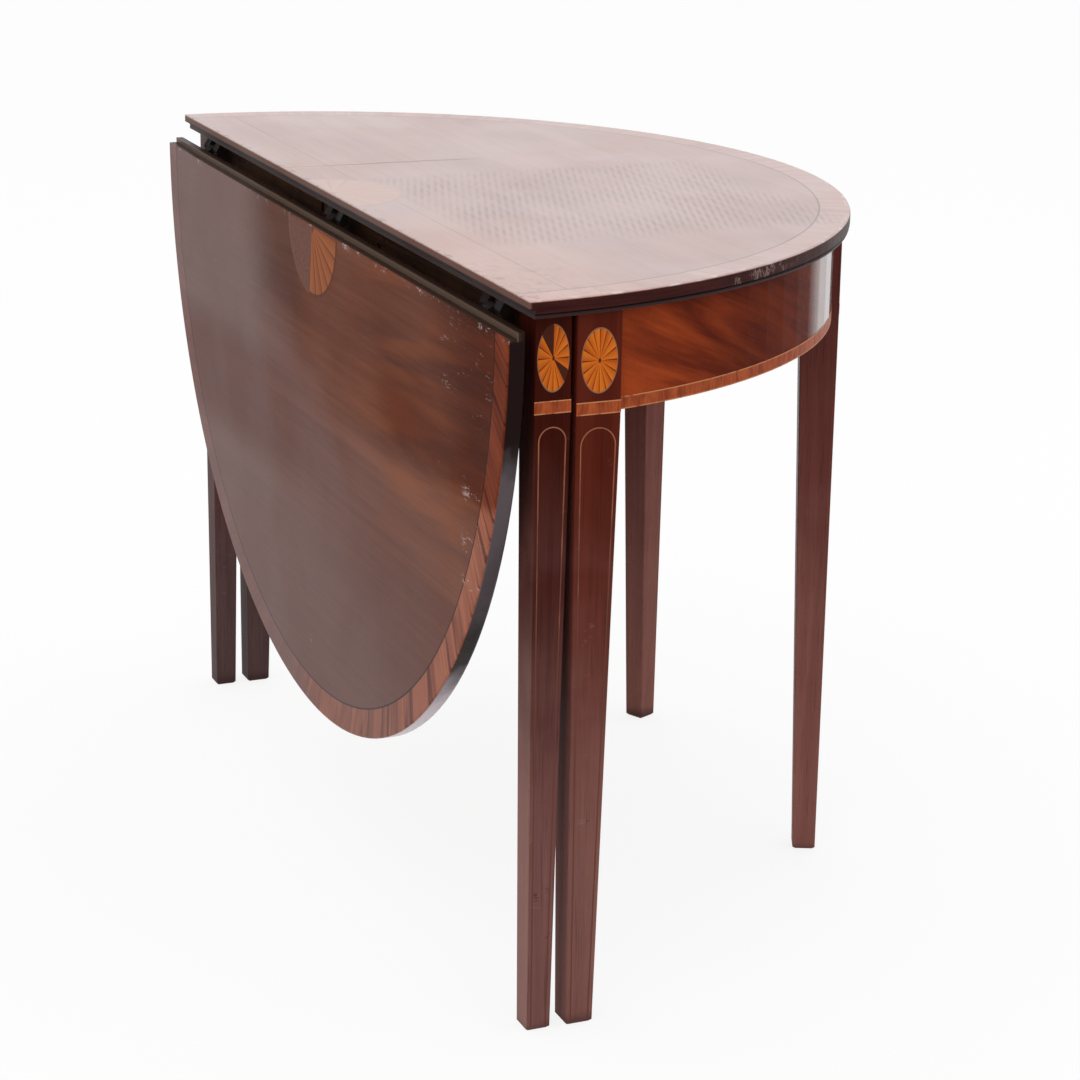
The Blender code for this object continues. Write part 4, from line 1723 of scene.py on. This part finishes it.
@dataclass
class Boards:
    """The fixed top and the hanging leaf, each with its half of the fan at the joint."""

    sizes: TableSizes
    top: Finish
    leaf: Finish
    top_fan: Finish
    leaf_fan: Finish
    half_width: float = 0.080
    depth: float = 0.074
    petals: int = 11
    edge_gap: float = 0.0015
    groove: float = 0.00004
    top_proud: float = 0.00006
    leaf_proud: float = 0.00010
    lost_petals: tuple[int, ...] = (0, 1, 2, 3, 4)

    def build(self) -> None:
        """Dress both boards and let the half fans in."""
        size = self.sizes
        Maker.dress(["fixed_top"], self.top)
        Maker.dress(["drop_leaf"], self.leaf)
        on_top = FacePlane(Vector((0.0, size.straight_y + self.edge_gap, size.top_z)), EAST, NORTH, UP)
        mesh = self.half_fan(self.top_proud, ()).mesh(on_top)
        Maker.piece("fixed_top_half_fan", mesh, self.top_fan, Body.FRAME, Slot.TOP)
        edge = size.leaf_edge_z - self.edge_gap
        on_leaf = FacePlane(Vector((0.0, size.leaf_face_y, edge)), -EAST, -UP, -NORTH)
        mesh = self.half_fan(self.leaf_proud, self.lost_petals).mesh(on_leaf)
        Maker.piece("drop_leaf_half_fan", mesh, self.leaf_fan, Body.LEAF, Slot.LEAF)

    def half_fan(self, proud: float, lost: tuple[int, ...]) -> Fan:
        """Size one half of the fan."""
        return Fan(self.half_width, self.depth, self.petals, math.pi, proud, groove=self.groove, lost=lost)


@dataclass
class Understructure:
    """Apron segments with their bands, the rails, the knuckle block and the hardware."""

    sizes: TableSizes
    apron: Finish
    band: Finish
    rail: Finish
    iron: Finish

    def build(self) -> None:
        """Dress the carcass and the hardware, and band the aprons."""
        aprons = ["apron_near", "apron_front", "apron_far"]
        Maker.dress(aprons, self.apron)
        for node in aprons:
            ApronBand(node, self.sizes, self.band).build()
        Maker.dress(["back_rail", "knuckle_block", "gate_rail_near", "gate_rail_far"], self.rail)
        hinges = [part + place for part in ("hinge_top_plate_", "hinge_leaf_plate_", "hinge_pin_")
                  for place in ("near", "middle", "far")]
        Maker.dress([*hinges, "gate_pin_near", "gate_pin_far"], self.iron)


@dataclass(frozen=True)
class SoftBox:
    """One soft studio light."""

    name: str
    place: tuple[float, float, float]
    aim: tuple[float, float, float]
    size: float
    power: float

    def build(self) -> None:
        """Hang the light and aim it."""
        lamp = bpy.data.lights.new(self.name, "AREA")
        lamp.shape = "SQUARE"
        lamp.size = self.size
        lamp.energy = self.power
        light = linked(self.name, lamp)
        light.location = self.place
        light.rotation_euler = (Vector(self.aim) - Vector(self.place)).to_track_quat("-Z", "Y").to_euler()


@dataclass
class Studio:
    """Pale floor, even white surround, soft lights and the camera."""

    azimuth: float = math.radians(22.89)
    elevation: float = math.radians(17.30)
    distance: float = 3.253
    target: tuple[float, float, float] = (0.0, -0.0166, 0.3151)
    roll: float = math.radians(0.8)
    lens: float = 97.3
    sensor: float = 36.0
    floor_half: float = 24.0
    floor_colour: Colour = shade(252, 252, 252)
    floor_glow: float = 0.84
    surround: float = 0.90
    lights: tuple[SoftBox, ...] = (
        SoftBox("key_light", (2.6, -2.2, 2.4), (0.0, 0.0, 0.4), 2.2, 14.0),
        SoftBox("top_light", (-0.6, 0.9, 3.0), (0.0, 0.0, 0.5), 2.4, 12.0),
    )

    def build(self) -> None:
        """Set the stage."""
        self.lay_floor()
        self.light_surround()
        for light in self.lights:
            light.build()
        self.place_camera()
        bpy.context.scene.view_settings.view_transform = "Standard"

    def lay_floor(self) -> None:
        """Lay a wide pale floor that takes the shadow."""
        bm = bmesh.new()
        bmesh.ops.create_grid(bm, x_segments=2, y_segments=2, size=self.floor_half)
        mesh = bpy.data.meshes.new("studio_floor")
        bm.to_mesh(mesh)
        bm.free()
        material = bpy.data.materials.new("studio_floor")
        material.use_nodes = True
        material.node_tree.nodes.clear()
        graph = Graph(material.node_tree)
        paper = graph.add("BsdfDiffuse", {"Color": self.floor_colour}).outputs[0]
        glow = graph.add("Emission", {"Color": WHITE, "Strength": 1.0}).outputs[0]
        shown = graph.times(graph.seen(), self.floor_glow)
        both = graph.add("MixShader", {0: shown, 1: paper, 2: glow}).outputs[0]
        graph.add("OutputMaterial", {"Surface": both})
        mesh.materials.append(material)
        floor = linked("studio_floor", mesh)

    def light_surround(self) -> None:
        """Surround the table with even white, white to the eye and softer as a light."""
        world = bpy.data.worlds.new("studio_surround")
        bpy.context.scene.world = world
        world.use_nodes = True
        graph = Graph(world.node_tree)
        background = world.node_tree.nodes["Background"]
        graph.feed(background.inputs["Color"], WHITE)
        strength = graph.plus(self.surround, graph.seen(), 1.0 - self.surround)
        graph.feed(background.inputs["Strength"], strength)

    def place_camera(self) -> None:
        """Stand the camera where the photograph was taken from."""
        data = bpy.data.cameras.new("camera")
        data.lens = self.lens
        data.sensor_width = self.sensor
        camera = linked("camera", data)
        level = math.cos(self.elevation)
        east, south = math.cos(self.azimuth) * level, math.sin(self.azimuth) * level
        back = Vector((east, -south, math.sin(self.elevation)))
        look = (-back).to_track_quat("-Z", "Y").to_matrix().to_4x4()
        place = Matrix.Translation(Vector(self.target) + back * self.distance)
        camera.matrix_world = place @ look @ Matrix.Rotation(self.roll, 4, "Z")
        bpy.context.scene.camera = camera


def main() -> None:
    """Build the stage, dress the table and add its inlay."""
    logging.basicConfig(level=logging.INFO, format="%(message)s")
    sizes = TableSizes.measured()
    gate_side = min(point.y for point in node_points("gate_leg_near"))
    Studio().build()
    leg_fan = FanVeneer(name="satinwood_fan", petal=tones((158, 67, 16), (206, 108, 30)),
                        joint=shade(70, 24, 10), border=shade(128, 96, 72), ground=shade(66, 32, 20))
    leaf_fan = FanVeneer(name="worn_leaf_fan", petal=tones((126, 69, 42), (157, 91, 52)),
                         joint=shade(94, 55, 41), border=shade(86, 50, 38), ground=shade(110, 74, 64),
                         specular=0.012)
    top_fan = FanVeneer(name="faded_top_fan", petal=tones((186, 148, 138), (194, 156, 145)),
                        joint=shade(180, 138, 125), border=shade(176, 146, 144), ground=shade(176, 146, 144),
                        polish=0.95, coat_roughness=0.3)
    band = CrossBanding(name="crossband")
    Boards(
        sizes,
        TopVeneer(name="top_veneer", sizes=sizes, coat_roughness=0.3),
        LeafVeneer(name="leaf_veneer", sizes=sizes, specular=0.01, coat_roughness=0.25),
        top_fan,
        leaf_fan,
    ).build()
    Understructure(
        sizes,
        ApronVeneer(name="apron_veneer", sizes=sizes, specular=0.012, coat_roughness=0.1, coat_ior=2.2),
        band,
        RailTimber(name="rail_timber"),
        AgedIron(name="aged_iron", metallic=0.1, specular=0.03),
    ).build()
    Legs(
        sizes,
        LegTimber(name="end_leg_timber", specular=0.02),
        # Darker upper tones: painted shade under the leaf
        LegTimber(name="gate_leg_timber", specular=0.02, lit_side_y=gate_side,
                  upper=tones((50, 14, 8), (60, 18, 10)), lower=tones((110, 73, 69), (120, 82, 77))),
        LegTimber(name="curve_leg_timber",
                  upper=tones((88, 42, 37), (100, 50, 44)), lower=tones((122, 78, 70), (134, 87, 79))),
        # Darker, greyer lower tones: painted shade on the far legs
        LegTimber(name="far_leg_timber", lower=tones((76, 56, 55), (88, 66, 65))),
        leg_fan,
        band,
        Stringing(name="stringing"),
    ).build()


if __name__ == "__main__":
    main()
